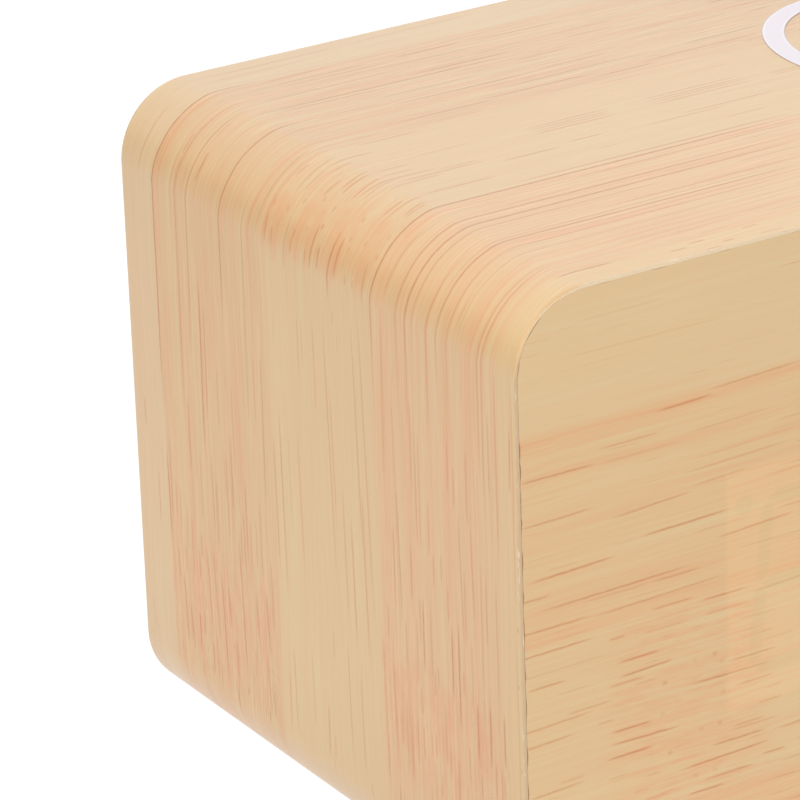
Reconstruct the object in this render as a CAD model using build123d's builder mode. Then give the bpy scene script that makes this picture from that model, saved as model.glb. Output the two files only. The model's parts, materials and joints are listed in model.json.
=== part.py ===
from build123d import *
import math
import os

os.makedirs("parts", exist_ok=True)

# Desk clock: a wood-look block with a hidden seven-segment display, a charging pad
# under its top, push buttons and a battery door on its back.
# Millimetres. Origin at the middle of the footprint, on the surface the feet rest on.
# +X to the viewer's right, +Y to the back, +Z up.

# ---------------------------------------------------------------- driving dimensions
width = 150.0               # left to right, over the wrap
depth = 75.0                # front edge of the wrap to the rear rim
case_height = 70.0          # over the wrap, without the feet
foot_height = 1.5
corner_radius = 8.0         # outer long edges of the wrap
wrap = 0.35                 # printed film round the case
face_film = 0.25            # printed film on the front, inside the wrap's front edge
seam = 0.05                 # gap between the front film and the wrap
side_board = 8.0            # thickness of the side boards
top_board_t = 6.0           # thickness of the top and bottom boards
panel_t = 4.0               # front panel thickness

display_w = 102.0           # face of the display module
display_h = 25.5
display_d = 8.0
display_drop = 36.25        # middle of the display below the top of the case
slant = 6.1                 # lean of the digits, degrees

cover_t = 2.5               # rear cover
cover_inset = 1.0           # rear cover face behind the rear rim
cover_gap = 0.15

coil_x, coil_y = 0.0, 1.0   # centre of the charging pad

button_d = 6.6
button_hole_d = 7.0
button_x = (-41.0, -27.0, -13.0)
button_z = 47.0
button_travel = 0.5

cell_d = 10.3               # AAA size cell
cell_body = 43.7
cell_nub = 0.8
cell_pitch = 10.8

# ---------------------------------------------------------------- derived positions
y_front = -depth / 2
y_back = depth / 2
z_low = foot_height
z_high = foot_height + case_height
z_mid = foot_height + case_height / 2

wood_w = width - 2 * wrap
wood_h = case_height - 2 * wrap
wood_r = corner_radius - wrap
x_wall = wood_w / 2 - side_board            # inner face of a side board
z_floor = z_low + wrap + top_board_t        # top of the bottom board
z_roof = z_high - wrap - top_board_t        # underside of the top board
y_wood_back = y_back - wrap
y_panel_front = y_front + face_film
y_panel_back = y_panel_front + panel_t

z_disp = z_high - display_drop
y_module_back = y_panel_front + display_d
pcb_t = 1.6
y_dpcb_back = y_module_back + pcb_t

y_cover_out = y_back - cover_inset
y_cover_in = y_cover_out - cover_t
cover_w = 2 * x_wall - 2 * cover_gap
cover_h = (z_roof - z_floor) - 2 * cover_gap

y_mpcb_back = y_cover_in - 7.0
y_mpcb_front = y_mpcb_back - pcb_t

box_x0, box_x1 = 8.6, 60.0                  # battery box, outside
box_z0, box_z1 = z_mid - 17.3, z_mid + 17.3
bay_x0, bay_x1 = box_x0 + 1.2, box_x1 - 1.2 # inside
bay_z0, bay_z1 = z_mid - 16.2, z_mid + 16.2
bay_x = (bay_x0 + bay_x1) / 2
y_box_front = y_cover_in - 12.5
y_bay_floor = y_box_front + 1.5
y_cell = y_bay_floor + 0.2 + cell_d / 2


def facing(y):
    """Sketch plane square to the depth at this y; extrusions run forward (-Y)."""
    return Plane.XZ.offset(-y)


# ================================================================ case
with BuildPart() as rubber_feet:
    with BuildSketch(Plane.XY):
        with Locations((0, 0)):
            with GridLocations(120.0, 52.0, 2, 2):
                Circle(5.0)
    extrude(amount=foot_height)
    fillet(rubber_feet.edges().group_by(Axis.Z)[0], radius=0.5)

with BuildPart() as wrap_film:
    with BuildSketch(facing(y_back)):
        with Locations((0, z_mid)):
            RectangleRounded(width, case_height, corner_radius)
    extrude(amount=y_back - y_front)
    with BuildSketch(facing(y_wood_back)):
        with Locations((0, z_mid)):
            RectangleRounded(wood_w, wood_h, wood_r)
    extrude(amount=y_wood_back - y_front, mode=Mode.SUBTRACT)
    # the film turns over the rear rim and stops at the opening
    with BuildSketch(facing(y_back)):
        with Locations((0, z_mid)):
            Rectangle(2 * x_wall, z_roof - z_floor)
    extrude(amount=2 * wrap, mode=Mode.SUBTRACT)

with BuildPart() as top_board:
    with BuildSketch(facing(y_wood_back)):
        with Locations((0, z_roof + top_board_t / 2)):
            Rectangle(2 * x_wall, top_board_t)
    extrude(amount=y_wood_back - y_panel_back)
    # pocket for the coil, and pilot holes for its holder
    with BuildSketch(Plane.XY.offset(z_roof)):
        with Locations((coil_x, coil_y)):
            Circle(27.0)
    extrude(amount=2.2, mode=Mode.SUBTRACT)
    with BuildSketch(Plane.XY.offset(z_roof)):
        with Locations((coil_x, coil_y)):
            with GridLocations(54.0, 54.0, 2, 2):
                Circle(0.95)
    extrude(amount=3.6, mode=Mode.SUBTRACT)

with BuildPart() as bottom_board:
    with BuildSketch(facing(y_wood_back)):
        with Locations((0, z_floor - top_board_t / 2)):
            Rectangle(2 * x_wall, top_board_t)
    extrude(amount=y_wood_back - y_panel_back)

with BuildPart() as left_side_board:
    with BuildSketch(facing(y_wood_back)):
        with Locations((-x_wall - side_board / 2, z_mid)):
            Rectangle(side_board, wood_h)
        fillet(vertices().group_by(Axis.X)[0], radius=wood_r)
    extrude(amount=y_wood_back - y_panel_back)

with BuildPart() as right_side_board:
    with BuildSketch(facing(y_wood_back)):
        with Locations((x_wall + side_board / 2, z_mid)):
            Rectangle(side_board, wood_h)
        fillet(vertices().group_by(Axis.X)[-1], radius=wood_r)
    extrude(amount=y_wood_back - y_panel_back)

display_screw_at = [(sx * 58.5, z_disp + sz * 13.0) for sx in (-1, 1) for sz in (-1, 1)]

with BuildPart() as front_panel:
    with BuildSketch(facing(y_panel_back)):
        with Locations((0, z_mid)):
            RectangleRounded(wood_w, wood_h, wood_r)
        with Locations((0, z_disp)):
            Rectangle(display_w + 0.4, display_h + 0.4, mode=Mode.SUBTRACT)
    extrude(amount=panel_t)
    with BuildSketch(facing(y_panel_back)):
        with Locations(*display_screw_at):
            Circle(0.95)
    extrude(amount=2.7, mode=Mode.SUBTRACT)

with BuildPart() as front_film:
    with BuildSketch(facing(y_panel_front)):
        with Locations((0, z_mid)):
            RectangleRounded(wood_w - 2 * seam, wood_h - 2 * seam, wood_r - seam)
    extrude(amount=face_film)

with BuildPart() as corner_blocks:
    with BuildSketch(facing(y_cover_in)):
        with Locations((0, z_mid)):
            with GridLocations(2 * x_wall - 11.0, (z_roof - z_floor) - 11.0, 2, 2):
                Rectangle(11.0, 11.0)
                Circle(1.12, mode=Mode.SUBTRACT)
    extrude(amount=9.6)
    with BuildSketch(facing(y_cover_in - 9.6)):
        with Locations((0, z_mid)):
            with GridLocations(2 * x_wall - 11.0, (z_roof - z_floor) - 11.0, 2, 2):
                Rectangle(11.0, 11.0)
    extrude(amount=2.4)

# charging mark on the top: an oval ring round a plain bolt shape, a thin transfer
mark_t = 0.08
with BuildPart() as charging_mark:
    with BuildSketch(Plane.XY.offset(z_high)):
        with Locations((coil_x, coil_y)):
            Ellipse(14.4, 16.6)
            Ellipse(12.0, 14.2, mode=Mode.SUBTRACT)
        with BuildLine():
            Polyline((1.9, 8.6), (-4.9, 0.2), (-0.9, 0.2), (-1.9, -6.6), (4.9, 1.8), (0.9, 1.8), (1.9, 8.6))
        make_face()
    extrude(amount=mark_t)

# ================================================================ display
lean = math.tan(math.radians(slant))
digit_h = 17.95              # between the middles of the top and bottom bars
digit_w = 9.6
bar = 1.2
small_h, small_w, small_bar = 9.4, 5.0, 0.9


def bars(x0, z0, w, h, t, which="ABCDEFG"):
    """Corner points of each slanted bar of a seven-segment digit.
    x0 is the middle of the left-hand bars at the digit's mid height z0."""
    g = 0.35 + t * 0.12      # gap between neighbouring bars
    half = h / 2
    out = []

    def flat(xa, xb, z):
        return [(xa + g, z), (xa + g + t / 2, z + t / 2), (xb - g - t / 2, z + t / 2),
                (xb - g, z), (xb - g - t / 2, z - t / 2), (xa + g + t / 2, z - t / 2)]

    def upright(x, za, zb):
        return [(x, za + g), (x + t / 2, za + g + t / 2), (x + t / 2, zb - g - t / 2),
                (x, zb - g), (x - t / 2, zb - g - t / 2), (x - t / 2, za + g + t / 2)]

    table = {"A": flat(0, w, half), "G": flat(0, w, 0), "D": flat(0, w, -half),
             "F": upright(0, 0, half), "B": upright(w, 0, half),
             "E": upright(0, -half, 0), "C": upright(w, -half, 0)}
    for key in which:
        out.append([(x0 + x + z * lean, z0 + z) for x, z in table[key]])
    return out


left = -width / 2
digit_bars = []
for x_mid in (28.1, 43.0, 62.6, 77.5):
    digit_bars += bars(left + x_mid, z_disp, digit_w, digit_h, bar)
for x_mid in (94.6, 103.3):
    digit_bars += bars(left + x_mid, z_disp - 4.2, small_w, small_h, small_bar)
digit_bars += bars(left + 113.2, z_disp - 4.2, small_w, small_h, small_bar, "AEFD")
colon_at = [(left + 57.6 + 3.9 * lean, z_disp + 3.9), (left + 57.6 - 3.9 * lean, z_disp - 3.9)]
dot_at = [(left + 26.1, z_high - 27.3)]
degree_at = [(left + 111.6, z_disp + 1.9)]

with BuildPart() as display_segments:
    with BuildSketch(facing(y_panel_front + 5.0)):
        for corners in digit_bars:
            with BuildLine():
                Polyline(*corners, close=True)
            make_face()
        with Locations(*colon_at):
            Circle(0.8)
        with Locations(*dot_at):
            Circle(0.9)
        with Locations(*degree_at):
            Circle(0.6)
    extrude(amount=5.0)

with BuildPart() as display_housing:
    with BuildSketch(facing(y_module_back)):
        with Locations((0, z_disp)):
            RectangleRounded(display_w, display_h, 0.6)
        for corners in digit_bars:
            with BuildLine():
                Polyline(*corners, close=True)
            make_face(mode=Mode.SUBTRACT)
        with Locations(*colon_at):
            Circle(0.8, mode=Mode.SUBTRACT)
        with Locations(*dot_at):
            Circle(0.9, mode=Mode.SUBTRACT)
        with Locations(*degree_at):
            Circle(0.6, mode=Mode.SUBTRACT)
    extrude(amount=display_d)

chip_at = [(sum(p[0] for p in c) / 6, sum(p[1] for p in c) / 6) for c in digit_bars]
chip_at += colon_at + dot_at + degree_at
with BuildPart() as led_chips:
    with BuildSketch(facing(y_module_back)):
        with Locations(*chip_at):
            Rectangle(0.7, 0.7)
    extrude(amount=0.6)

with BuildPart() as display_pcb:
    with BuildSketch(facing(y_dpcb_back)):
        with Locations((0, z_disp)):
            RectangleRounded(126.0, 34.0, 1.5)
        with Locations(*display_screw_at):
            Circle(1.2, mode=Mode.SUBTRACT)
    extrude(amount=pcb_t)

with BuildPart() as display_spacers:
    with BuildSketch(facing(y_module_back)):
        with Locations(*display_screw_at):
            Circle(2.5)
            Circle(1.2, mode=Mode.SUBTRACT)
    extrude(amount=y_module_back - y_panel_back)

with BuildPart() as display_screws:
    with BuildSketch(facing(y_dpcb_back + 1.5)):
        with Locations(*display_screw_at):
            Circle(2.1)
    extrude(amount=1.5)
    fillet(display_screws.edges().group_by(Axis.Y)[-1], radius=0.5)
    with BuildSketch(facing(y_dpcb_back)):
        with Locations(*display_screw_at):
            Circle(0.93)
    extrude(amount=8.0)
    with BuildSketch(facing(y_dpcb_back + 1.5)):
        with Locations(*display_screw_at):
            Rectangle(2.2, 0.5)
            Rectangle(0.5, 2.2)
    extrude(amount=0.8, mode=Mode.SUBTRACT)

with BuildPart() as display_driver_chip:
    with BuildSketch(facing(y_dpcb_back + 2.3)):
        with Locations((14.0, z_disp)):
            Rectangle(13.0, 7.5)
    extrude(amount=2.1)
    with BuildSketch(facing(y_dpcb_back + 1.1)):
        with Locations((14.0, z_disp)):
            with GridLocations(1.27, 9.0, 10, 2):
                Rectangle(0.4, 1.7)
    extrude(amount=1.1)

# ribbon: one header on the display board, one on the main board, a flat cable between
ribbon_x, ribbon_z = -30.0, 40.0
header_h = 7.0
y_ribbon0 = y_dpcb_back + header_h
y_ribbon1 = y_mpcb_front - header_h
with BuildPart() as ribbon_headers:
    with BuildSketch(facing(y_dpcb_back + header_h)):
        with Locations((ribbon_x, ribbon_z)):
            RectangleRounded(22.0, 6.0, 0.6)
    extrude(amount=header_h)
    with BuildSketch(facing(y_mpcb_front)):
        with Locations((ribbon_x, ribbon_z)):
            RectangleRounded(22.0, 6.0, 0.6)
    extrude(amount=header_h)

with BuildPart() as display_ribbon:
    with BuildLine() as ribbon_path:
        FilletPolyline(
            (ribbon_x, y_ribbon0, ribbon_z), (ribbon_x, y_ribbon0 + 7.5, ribbon_z),
            (ribbon_x, -1.2, ribbon_z - 4.0), (ribbon_x, y_ribbon1 - 7.5, ribbon_z),
            (ribbon_x, y_ribbon1, ribbon_z), radius=(20.0, 18.0, 20.0))
    with BuildSketch(Plane(origin=(ribbon_x, y_ribbon0, ribbon_z), x_dir=(1, 0, 0), z_dir=(0, 1, 0))):
        Rectangle(20.3, 0.9)
    sweep(path=ribbon_path.line)

# ================================================================ rear cover
cover_screw_at = [(sx * (x_wall - 5.5), z_mid + sz * ((z_roof - z_floor) / 2 - 5.5))
                  for sx in (-1, 1) for sz in (-1, 1)]
mpcb_x0, mpcb_x1 = -53.0, 2.0
mpcb_z0, mpcb_z1 = 12.5, 60.5
mpcb_hole_at = [(x, z) for x in (mpcb_x0 + 4, mpcb_x1 - 4) for z in (mpcb_z0 + 4, mpcb_z1 - 4)]
inlet_x, inlet_z = -12.0, 19.0
mic_x, mic_z = -47.0, 31.0
sensor_x, sensor_z = -30.0, 20.0
door_screw_at = [(bay_x, z_mid - 21.2), (bay_x, z_mid + 21.2)]
ear_screw_at = [(box_x0 - 2.5, z_mid), (box_x1 + 2.5, z_mid)]
door_t = 1.2

with BuildPart() as rear_cover:
    with BuildSketch(facing(y_cover_out)):
        with Locations((0, z_mid)):
            RectangleRounded(cover_w, cover_h, 0.8)
        with Locations(*[(x, button_z) for x in button_x]):
            Circle(button_hole_d / 2, mode=Mode.SUBTRACT)
        with Locations((inlet_x, inlet_z)):
            SlotOverall(9.6, 3.9, mode=Mode.SUBTRACT)
        with Locations((mic_x, mic_z)):
            Circle(0.9, mode=Mode.SUBTRACT)
        with Locations((sensor_x, sensor_z)):
            with GridLocations(2.6, 0, 5, 1):
                SlotOverall(8.0, 1.2, rotation=90, mode=Mode.SUBTRACT)
        with Locations((bay_x, z_mid)):
            Rectangle(bay_x1 - bay_x0, bay_z1 - bay_z0, mode=Mode.SUBTRACT)
        with Locations(*cover_screw_at):
            Circle(1.3, mode=Mode.SUBTRACT)
    extrude(amount=cover_t)
    # recess for the battery door and its two screw ears
    with BuildSketch(facing(y_cover_out)):
        with Locations((bay_x, z_mid)):
            RectangleRounded(53.0, 36.4, 1.6)
            Rectangle(8.4, 42.4)
        with Locations(*door_screw_at):
            Circle(4.2)
    extrude(amount=door_t, mode=Mode.SUBTRACT)
    # counterbores for the corner screws
    with BuildSketch(facing(y_cover_out)):
        with Locations(*cover_screw_at):
            Circle(2.6)
    extrude(amount=1.2, mode=Mode.SUBTRACT)
    # engraved marks under the buttons: a ring, a triangle up and a triangle down
    with BuildSketch(facing(y_cover_out)):
        with Locations((button_x[2], button_z - 8.0)):
            Circle(1.7)
            Circle(1.2, mode=Mode.SUBTRACT)
        with Locations((button_x[1], button_z - 8.0)):
            RegularPolygon(1.9, 3, rotation=90)
        with Locations((button_x[0], button_z - 8.0)):
            RegularPolygon(1.9, 3, rotation=-90)
    extrude(amount=0.3, mode=Mode.SUBTRACT)
    # posts for the main board
    with BuildSketch(facing(y_cover_in)):
        with Locations(*mpcb_hole_at):
            Circle(2.75)
            Circle(0.95, mode=Mode.SUBTRACT)
    extrude(amount=y_cover_in - y_mpcb_back)
    # posts for the door screws, drilled from the recess
    with BuildSketch(facing(y_cover_in)):
        with Locations(*door_screw_at):
            Circle(2.5)
    extrude(amount=5.0)
    with BuildSketch(facing(y_cover_out)):
        with Locations(*door_screw_at):
            Circle(0.9)
    extrude(amount=6.8, mode=Mode.SUBTRACT)
    # blind pilot holes for the battery box screws
    with BuildSketch(facing(y_cover_in + 2.0)):
        with Locations(*ear_screw_at):
            Circle(0.92)
    extrude(amount=2.0, mode=Mode.SUBTRACT)
    # soft outer rim
    outer_rim = (rear_cover.faces().filter_by(Axis.Y).group_by(Axis.Y)[-1]
                 .sort_by(SortBy.AREA)[-1].outer_wire().edges())
    chamfer(outer_rim, length=0.3)

with BuildPart() as rear_cover_screws:
    with BuildSketch(facing(y_cover_out)):
        with Locations(*cover_screw_at):
            Circle(2.3)
    extrude(amount=1.2)
    fillet(rear_cover_screws.edges().group_by(Axis.Y)[-1], radius=0.3)
    with BuildSketch(facing(y_cover_out - 1.2)):
        with Locations(*cover_screw_at):
            Circle(1.1)
    extrude(amount=10.0)
    with BuildSketch(facing(y_cover_out)):
        with Locations(*cover_screw_at):
            Rectangle(2.6, 0.55)
            Rectangle(0.55, 2.6)
    extrude(amount=0.8, mode=Mode.SUBTRACT)

# ================================================================ main board
with BuildPart() as main_pcb:
    with BuildSketch(facing(y_mpcb_back)):
        with Locations(((mpcb_x0 + mpcb_x1) / 2, (mpcb_z0 + mpcb_z1) / 2)):
            RectangleRounded(mpcb_x1 - mpcb_x0, mpcb_z1 - mpcb_z0, 1.5)
        with Locations(*mpcb_hole_at):
            Circle(1.2, mode=Mode.SUBTRACT)
    extrude(amount=pcb_t)

with BuildPart() as main_pcb_screws:
    with BuildSketch(facing(y_mpcb_front)):
        with Locations(*mpcb_hole_at):
            Circle(2.1)
    extrude(amount=1.5)
    fillet(main_pcb_screws.edges().group_by(Axis.Y)[0], radius=0.5)
    with BuildSketch(facing(y_mpcb_front + 6.0)):
        with Locations(*mpcb_hole_at):
            Circle(0.93)
    extrude(amount=6.0)
    with BuildSketch(facing(y_mpcb_front - 0.7)):
        with Locations(*mpcb_hole_at):
            Rectangle(2.2, 0.5)
            Rectangle(0.5, 2.2)
    extrude(amount=0.8, mode=Mode.SUBTRACT)

switch_at = [(x, button_z) for x in button_x]
with BuildPart() as tact_switches:
    with BuildSketch(facing(y_mpcb_back + 3.5)):
        with Locations(*switch_at):
            RectangleRounded(6.0, 6.0, 0.5)
    extrude(amount=3.5)
    with BuildSketch(facing(y_mpcb_back + 3.5)):
        with Locations(*switch_at):
            Circle(1.82)
    extrude(amount=2.1, mode=Mode.SUBTRACT)
    with BuildSketch(facing(y_mpcb_back + 0.6)):
        with Locations(*switch_at):
            with GridLocations(7.4, 4.5, 2, 2):
                Rectangle(1.4, 0.7)
    extrude(amount=0.6)

plunger_parts = []
button_parts = []
y_plunger = y_mpcb_back + 4.4
for x in button_x:
    with BuildPart() as plunger:
        with BuildSketch(facing(y_plunger)):
            with Locations((x, button_z)):
                Circle(1.75)
        extrude(amount=2.4)
        chamfer(plunger.edges().group_by(Axis.Y)[-1], length=0.25)
    plunger_parts.append(plunger)
    with BuildPart() as button:
        with BuildSketch(facing(y_back)):
            with Locations((x, button_z)):
                Circle(button_d / 2)
        extrude(amount=y_back - (y_cover_in - 0.1))
        fillet(button.edges().group_by(Axis.Y)[-1], radius=0.6)
        with BuildSketch(facing(y_cover_in - 0.1)):
            with Locations((x, button_z)):
                Circle(4.2)
        extrude(amount=1.1)
        with BuildSketch(facing(y_cover_in - 1.2)):
            with Locations((x, button_z)):
                Circle(2.5)
        extrude(amount=(y_cover_in - 1.2) - y_plunger)
    button_parts.append(button)
down_plunger, up_plunger, mode_plunger = plunger_parts
down_button, up_button, mode_button = button_parts

with BuildPart() as usb_inlet_shell:
    with BuildSketch(facing(y_cover_out)):
        with Locations((inlet_x, inlet_z)):
            SlotOverall(8.94, 3.26)
            SlotOverall(8.34, 2.56, mode=Mode.SUBTRACT)
    extrude(amount=y_cover_out - y_mpcb_back)

with BuildPart() as usb_inlet_tongue:
    with BuildSketch(facing(y_mpcb_back + 2.5)):
        with Locations((inlet_x, inlet_z)):
            SlotOverall(8.34, 2.56)
    extrude(amount=2.5)
    with BuildSketch(facing(y_cover_out - 0.9)):
        with Locations((inlet_x, inlet_z)):
            Rectangle(6.69, 0.7)
    extrude(amount=(y_cover_out - 0.9) - (y_mpcb_back + 2.5))

with BuildPart() as microphone:
    with BuildSketch(facing(y_mpcb_back + 2.7)):
        with Locations((mic_x, mic_z)):
            Circle(3.0)
    extrude(amount=2.7)
    with BuildSketch(facing(y_mpcb_back + 2.7)):
        with Locations((mic_x, mic_z)):
            Circle(1.0)
    extrude(amount=0.3, mode=Mode.SUBTRACT)

with BuildPart() as temperature_sensor:
    with BuildSketch(facing(y_mpcb_back + 4.6)):
        with Locations((sensor_x, sensor_z)):
            with GridLocations(1.3, 0, 2, 1):
                Circle(0.25)
    extrude(amount=4.6)
    with Locations((sensor_x, y_mpcb_back + 4.9, sensor_z)):
        Sphere(1.2)

with BuildPart() as buzzer:
    with BuildSketch(facing(y_mpcb_front)):
        with Locations((-42.0, 22.0)):
            Circle(6.0)
    extrude(amount=8.5)
    fillet(buzzer.edges().group_by(Axis.Y)[0], radius=0.4)
    with BuildSketch(facing(y_mpcb_front - 8.0)):
        with Locations((-42.0, 22.0)):
            Circle(1.0)
    extrude(amount=0.6, mode=Mode.SUBTRACT)

with BuildPart() as microcontroller:
    with BuildSketch(facing(y_mpcb_front - 0.2)):
        with Locations((-14.0, 30.0)):
            Rectangle(12.8, 7.5)
    extrude(amount=2.1)
    with BuildSketch(facing(y_mpcb_front)):
        with Locations((-14.0, 30.0)):
            with GridLocations(1.27, 9.0, 10, 2):
                Rectangle(0.4, 1.7)
    extrude(amount=1.1)

with BuildPart() as timekeeping_chip:
    with BuildSketch(facing(y_mpcb_front - 0.2)):
        with Locations((-44.0, 49.0)):
            Rectangle(4.9, 3.9)
    extrude(amount=1.4)
    with BuildSketch(facing(y_mpcb_front)):
        with Locations((-44.0, 49.0)):
            with GridLocations(1.27, 4.9, 4, 2):
                Rectangle(0.4, 1.2)
    extrude(amount=0.8)

with BuildPart() as quartz_crystal:
    with BuildSketch(facing(y_mpcb_front)):
        with Locations((-33.0, 52.0)):
            SlotOverall(11.0, 4.6)
    extrude(amount=3.5)
    fillet(quartz_crystal.edges().group_by(Axis.Y)[0], radius=0.6)

with BuildPart() as filter_capacitor:
    with BuildSketch(facing(y_mpcb_front)):
        with Locations((-9.0, 19.0)):
            Circle(3.15)
    extrude(amount=7.7)
    fillet(filter_capacitor.edges().group_by(Axis.Y)[0], radius=0.4)

lead_header_at = [(-4.25, 50.0), (-17.25, 46.0)]
with BuildPart() as lead_headers:
    with BuildSketch(facing(y_mpcb_front)):
        with Locations(*lead_header_at):
            RectangleRounded(7.5, 4.5, 0.4)
    extrude(amount=8.0)
y_lead = y_mpcb_front - 8.0

# ================================================================ back-up battery
with BuildPart() as battery_box:
    with BuildSketch(facing(y_cover_in)):
        with Locations((bay_x, z_mid)):
            RectangleRounded(box_x1 - box_x0, box_z1 - box_z0, 0.6)
    extrude(amount=y_cover_in - y_box_front)
    with BuildSketch(facing(y_cover_in)):
        with Locations((bay_x, z_mid)):
            Rectangle(bay_x1 - bay_x0, bay_z1 - bay_z0)
    extrude(amount=y_cover_in - y_bay_floor, mode=Mode.SUBTRACT)
    # low ribs between the cells
    with BuildSketch(facing(y_bay_floor + 1.4)):
        with Locations((bay_x, z_mid)):
            with GridLocations(0, cell_pitch, 1, 2):
                Rectangle(30.0, 1.8)
    extrude(amount=1.4)
    # ears that screw to the rear cover
    with BuildSketch(facing(y_cover_in)):
        with Locations((box_x0 - 2.5, z_mid), (box_x1 + 2.5, z_mid)):
            Rectangle(5.0, 9.0)
            Circle(1.1, mode=Mode.SUBTRACT)
    extrude(amount=2.0)
    # slots for the two solder tails
    with BuildSketch(facing(y_bay_floor)):
        with Locations((bay_x0 + 0.3, z_mid + cell_pitch), (bay_x1 - 0.3, z_mid - cell_pitch)):
            Rectangle(0.6, 2.4)
    extrude(amount=2.0, mode=Mode.SUBTRACT)

with BuildPart() as battery_box_screws:
    with BuildSketch(facing(y_cover_in - 2.0)):
        with Locations(*ear_screw_at):
            Circle(1.9)
    extrude(amount=1.3)
    fillet(battery_box_screws.edges().group_by(Axis.Y)[0], radius=0.4)
    with BuildSketch(facing(y_cover_in + 1.8)):
        with Locations(*ear_screw_at):
            Circle(0.88)
    extrude(amount=3.8)
    with BuildSketch(facing(y_cover_in - 2.7)):
        with Locations(*ear_screw_at):
            Rectangle(1.9, 0.45)
            Rectangle(0.45, 1.9)
    extrude(amount=0.7, mode=Mode.SUBTRACT)

plate_t = 0.4
row_z = (z_mid + cell_pitch, z_mid, z_mid - cell_pitch)
nub_tip = (bay_x0 + plate_t, bay_x1 - plate_t, bay_x0 + plate_t)    # x of each cell's + tip
way = (1, -1, 1)                                                   # from + tip to - end
with BuildPart() as battery_cells:
    for z, tip, sign in zip(row_z, nub_tip, way):
        with BuildSketch(Plane(origin=(tip, y_cell, z), x_dir=(0, 1, 0), z_dir=(sign, 0, 0))):
            Circle(1.9)
        extrude(amount=cell_nub)
        with BuildSketch(Plane(origin=(tip + sign * cell_nub, y_cell, z), x_dir=(0, 1, 0), z_dir=(sign, 0, 0))):
            Circle(cell_d / 2)
        extrude(amount=cell_body)
    fillet(battery_cells.edges().filter_by(GeomType.CIRCLE).filter_by(
        lambda e: abs(e.radius - cell_d / 2) < 0.01), radius=0.5)

with BuildPart() as battery_contact_plates:
    # left wall: one plate for the first cell, one that joins the other two
    with BuildSketch(Plane.YZ.offset(bay_x0)):
        with Locations((y_bay_floor + 4.6, row_z[0])):
            Rectangle(9.2, 8.0)
        with Locations((y_bay_floor + 4.6, (row_z[1] + row_z[2]) / 2)):
            Rectangle(9.2, cell_pitch + 8.0)
        with Locations((y_bay_floor - 1.75, row_z[0])):
            Rectangle(3.5, 2.0)
    extrude(amount=plate_t)
    # right wall: one plate that joins the first two cells, one for the last
    with BuildSketch(Plane.YZ.offset(bay_x1 - plate_t)):
        with Locations((y_bay_floor + 4.6, (row_z[0] + row_z[1]) / 2)):
            Rectangle(9.2, cell_pitch + 8.0)
        with Locations((y_bay_floor + 4.6, row_z[2])):
            Rectangle(9.2, 8.0)
        with Locations((y_bay_floor - 1.75, row_z[2])):
            Rectangle(3.5, 2.0)
    extrude(amount=plate_t)

# bowed leaf springs between each cell's flat end and its plate
spring_gap = (bay_x1 - bay_x0) - 2 * plate_t - cell_nub - cell_body
leaf_t = 0.35
with BuildPart() as battery_leaf_springs:
    for z, tip, sign in zip(row_z, nub_tip, way):
        foot = tip + sign * (cell_nub + cell_body + spring_gap)     # face of the plate
        crest = foot - sign * (spring_gap - 0.02)
        with BuildSketch(Plane.XY.offset(z - 3.0)):
            with BuildLine():
                ThreePointArc((foot, y_cell - 3.8), (crest, y_cell), (foot, y_cell + 3.8))
                Line((foot, y_cell + 3.8), (foot, y_cell + 3.4))
                ThreePointArc((foot, y_cell + 3.4), (crest + sign * leaf_t, y_cell), (foot, y_cell - 3.4))
                Line((foot, y_cell - 3.4), (foot, y_cell - 3.8))
            make_face()
        extrude(amount=6.0)

with BuildPart() as battery_door:
    with BuildSketch(facing(y_cover_out)):
        with Locations((bay_x, z_mid)):
            RectangleRounded(52.6, 36.0, 1.4)
            Rectangle(8.0, 42.4)
        with Locations(*door_screw_at):
            Circle(4.0)
            Circle(0.97, mode=Mode.SUBTRACT)
    extrude(amount=door_t)
    # locating rim on the inner face
    with BuildSketch(facing(y_cover_out - door_t)):
        with Locations((bay_x, z_mid)):
            Rectangle(48.4, 31.8)
            Rectangle(46.4, 29.8, mode=Mode.SUBTRACT)
    extrude(amount=1.4)
    # finger ribs
    with BuildSketch(facing(y_cover_out + 0.4)):
        with Locations((bay_x, z_mid - 11.0)):
            with GridLocations(0, 2.2, 1, 4):
                SlotOverall(13.0, 0.9)
    extrude(amount=0.4)
    # shallow arrow that shows which way the door comes off
    with BuildSketch(facing(y_cover_out)):
        with Locations((bay_x, z_mid + 10.0)):
            RegularPolygon(2.4, 3, rotation=-90)
    extrude(amount=0.3, mode=Mode.SUBTRACT)

with BuildPart() as battery_door_screws:
    with BuildSketch(facing(y_back)):
        with Locations(*door_screw_at):
            Circle(1.8)
    extrude(amount=y_back - y_cover_out)
    fillet(battery_door_screws.edges().group_by(Axis.Y)[-1], radius=0.4)
    with BuildSketch(facing(y_cover_out)):
        with Locations(*door_screw_at):
            Circle(0.85)
    extrude(amount=6.0)
    with BuildSketch(facing(y_back)):
        with Locations(*door_screw_at):
            Rectangle(2.1, 0.45)
            Rectangle(0.45, 2.1)
    extrude(amount=0.6, mode=Mode.SUBTRACT)

# ================================================================ charging pad
coil_t, ferrite_t = 1.2, 1.0
z_ferrite = z_roof
z_coil = z_roof + ferrite_t
holder_t = 2.0
z_holder = z_roof - holder_t
z_cpcb_top = z_holder - 6.15
z_cpcb_low = z_cpcb_top - pcb_t
lead_at = [(coil_x - 20.0, coil_y - 3.0), (coil_x - 20.0, coil_y + 3.0)]

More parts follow.
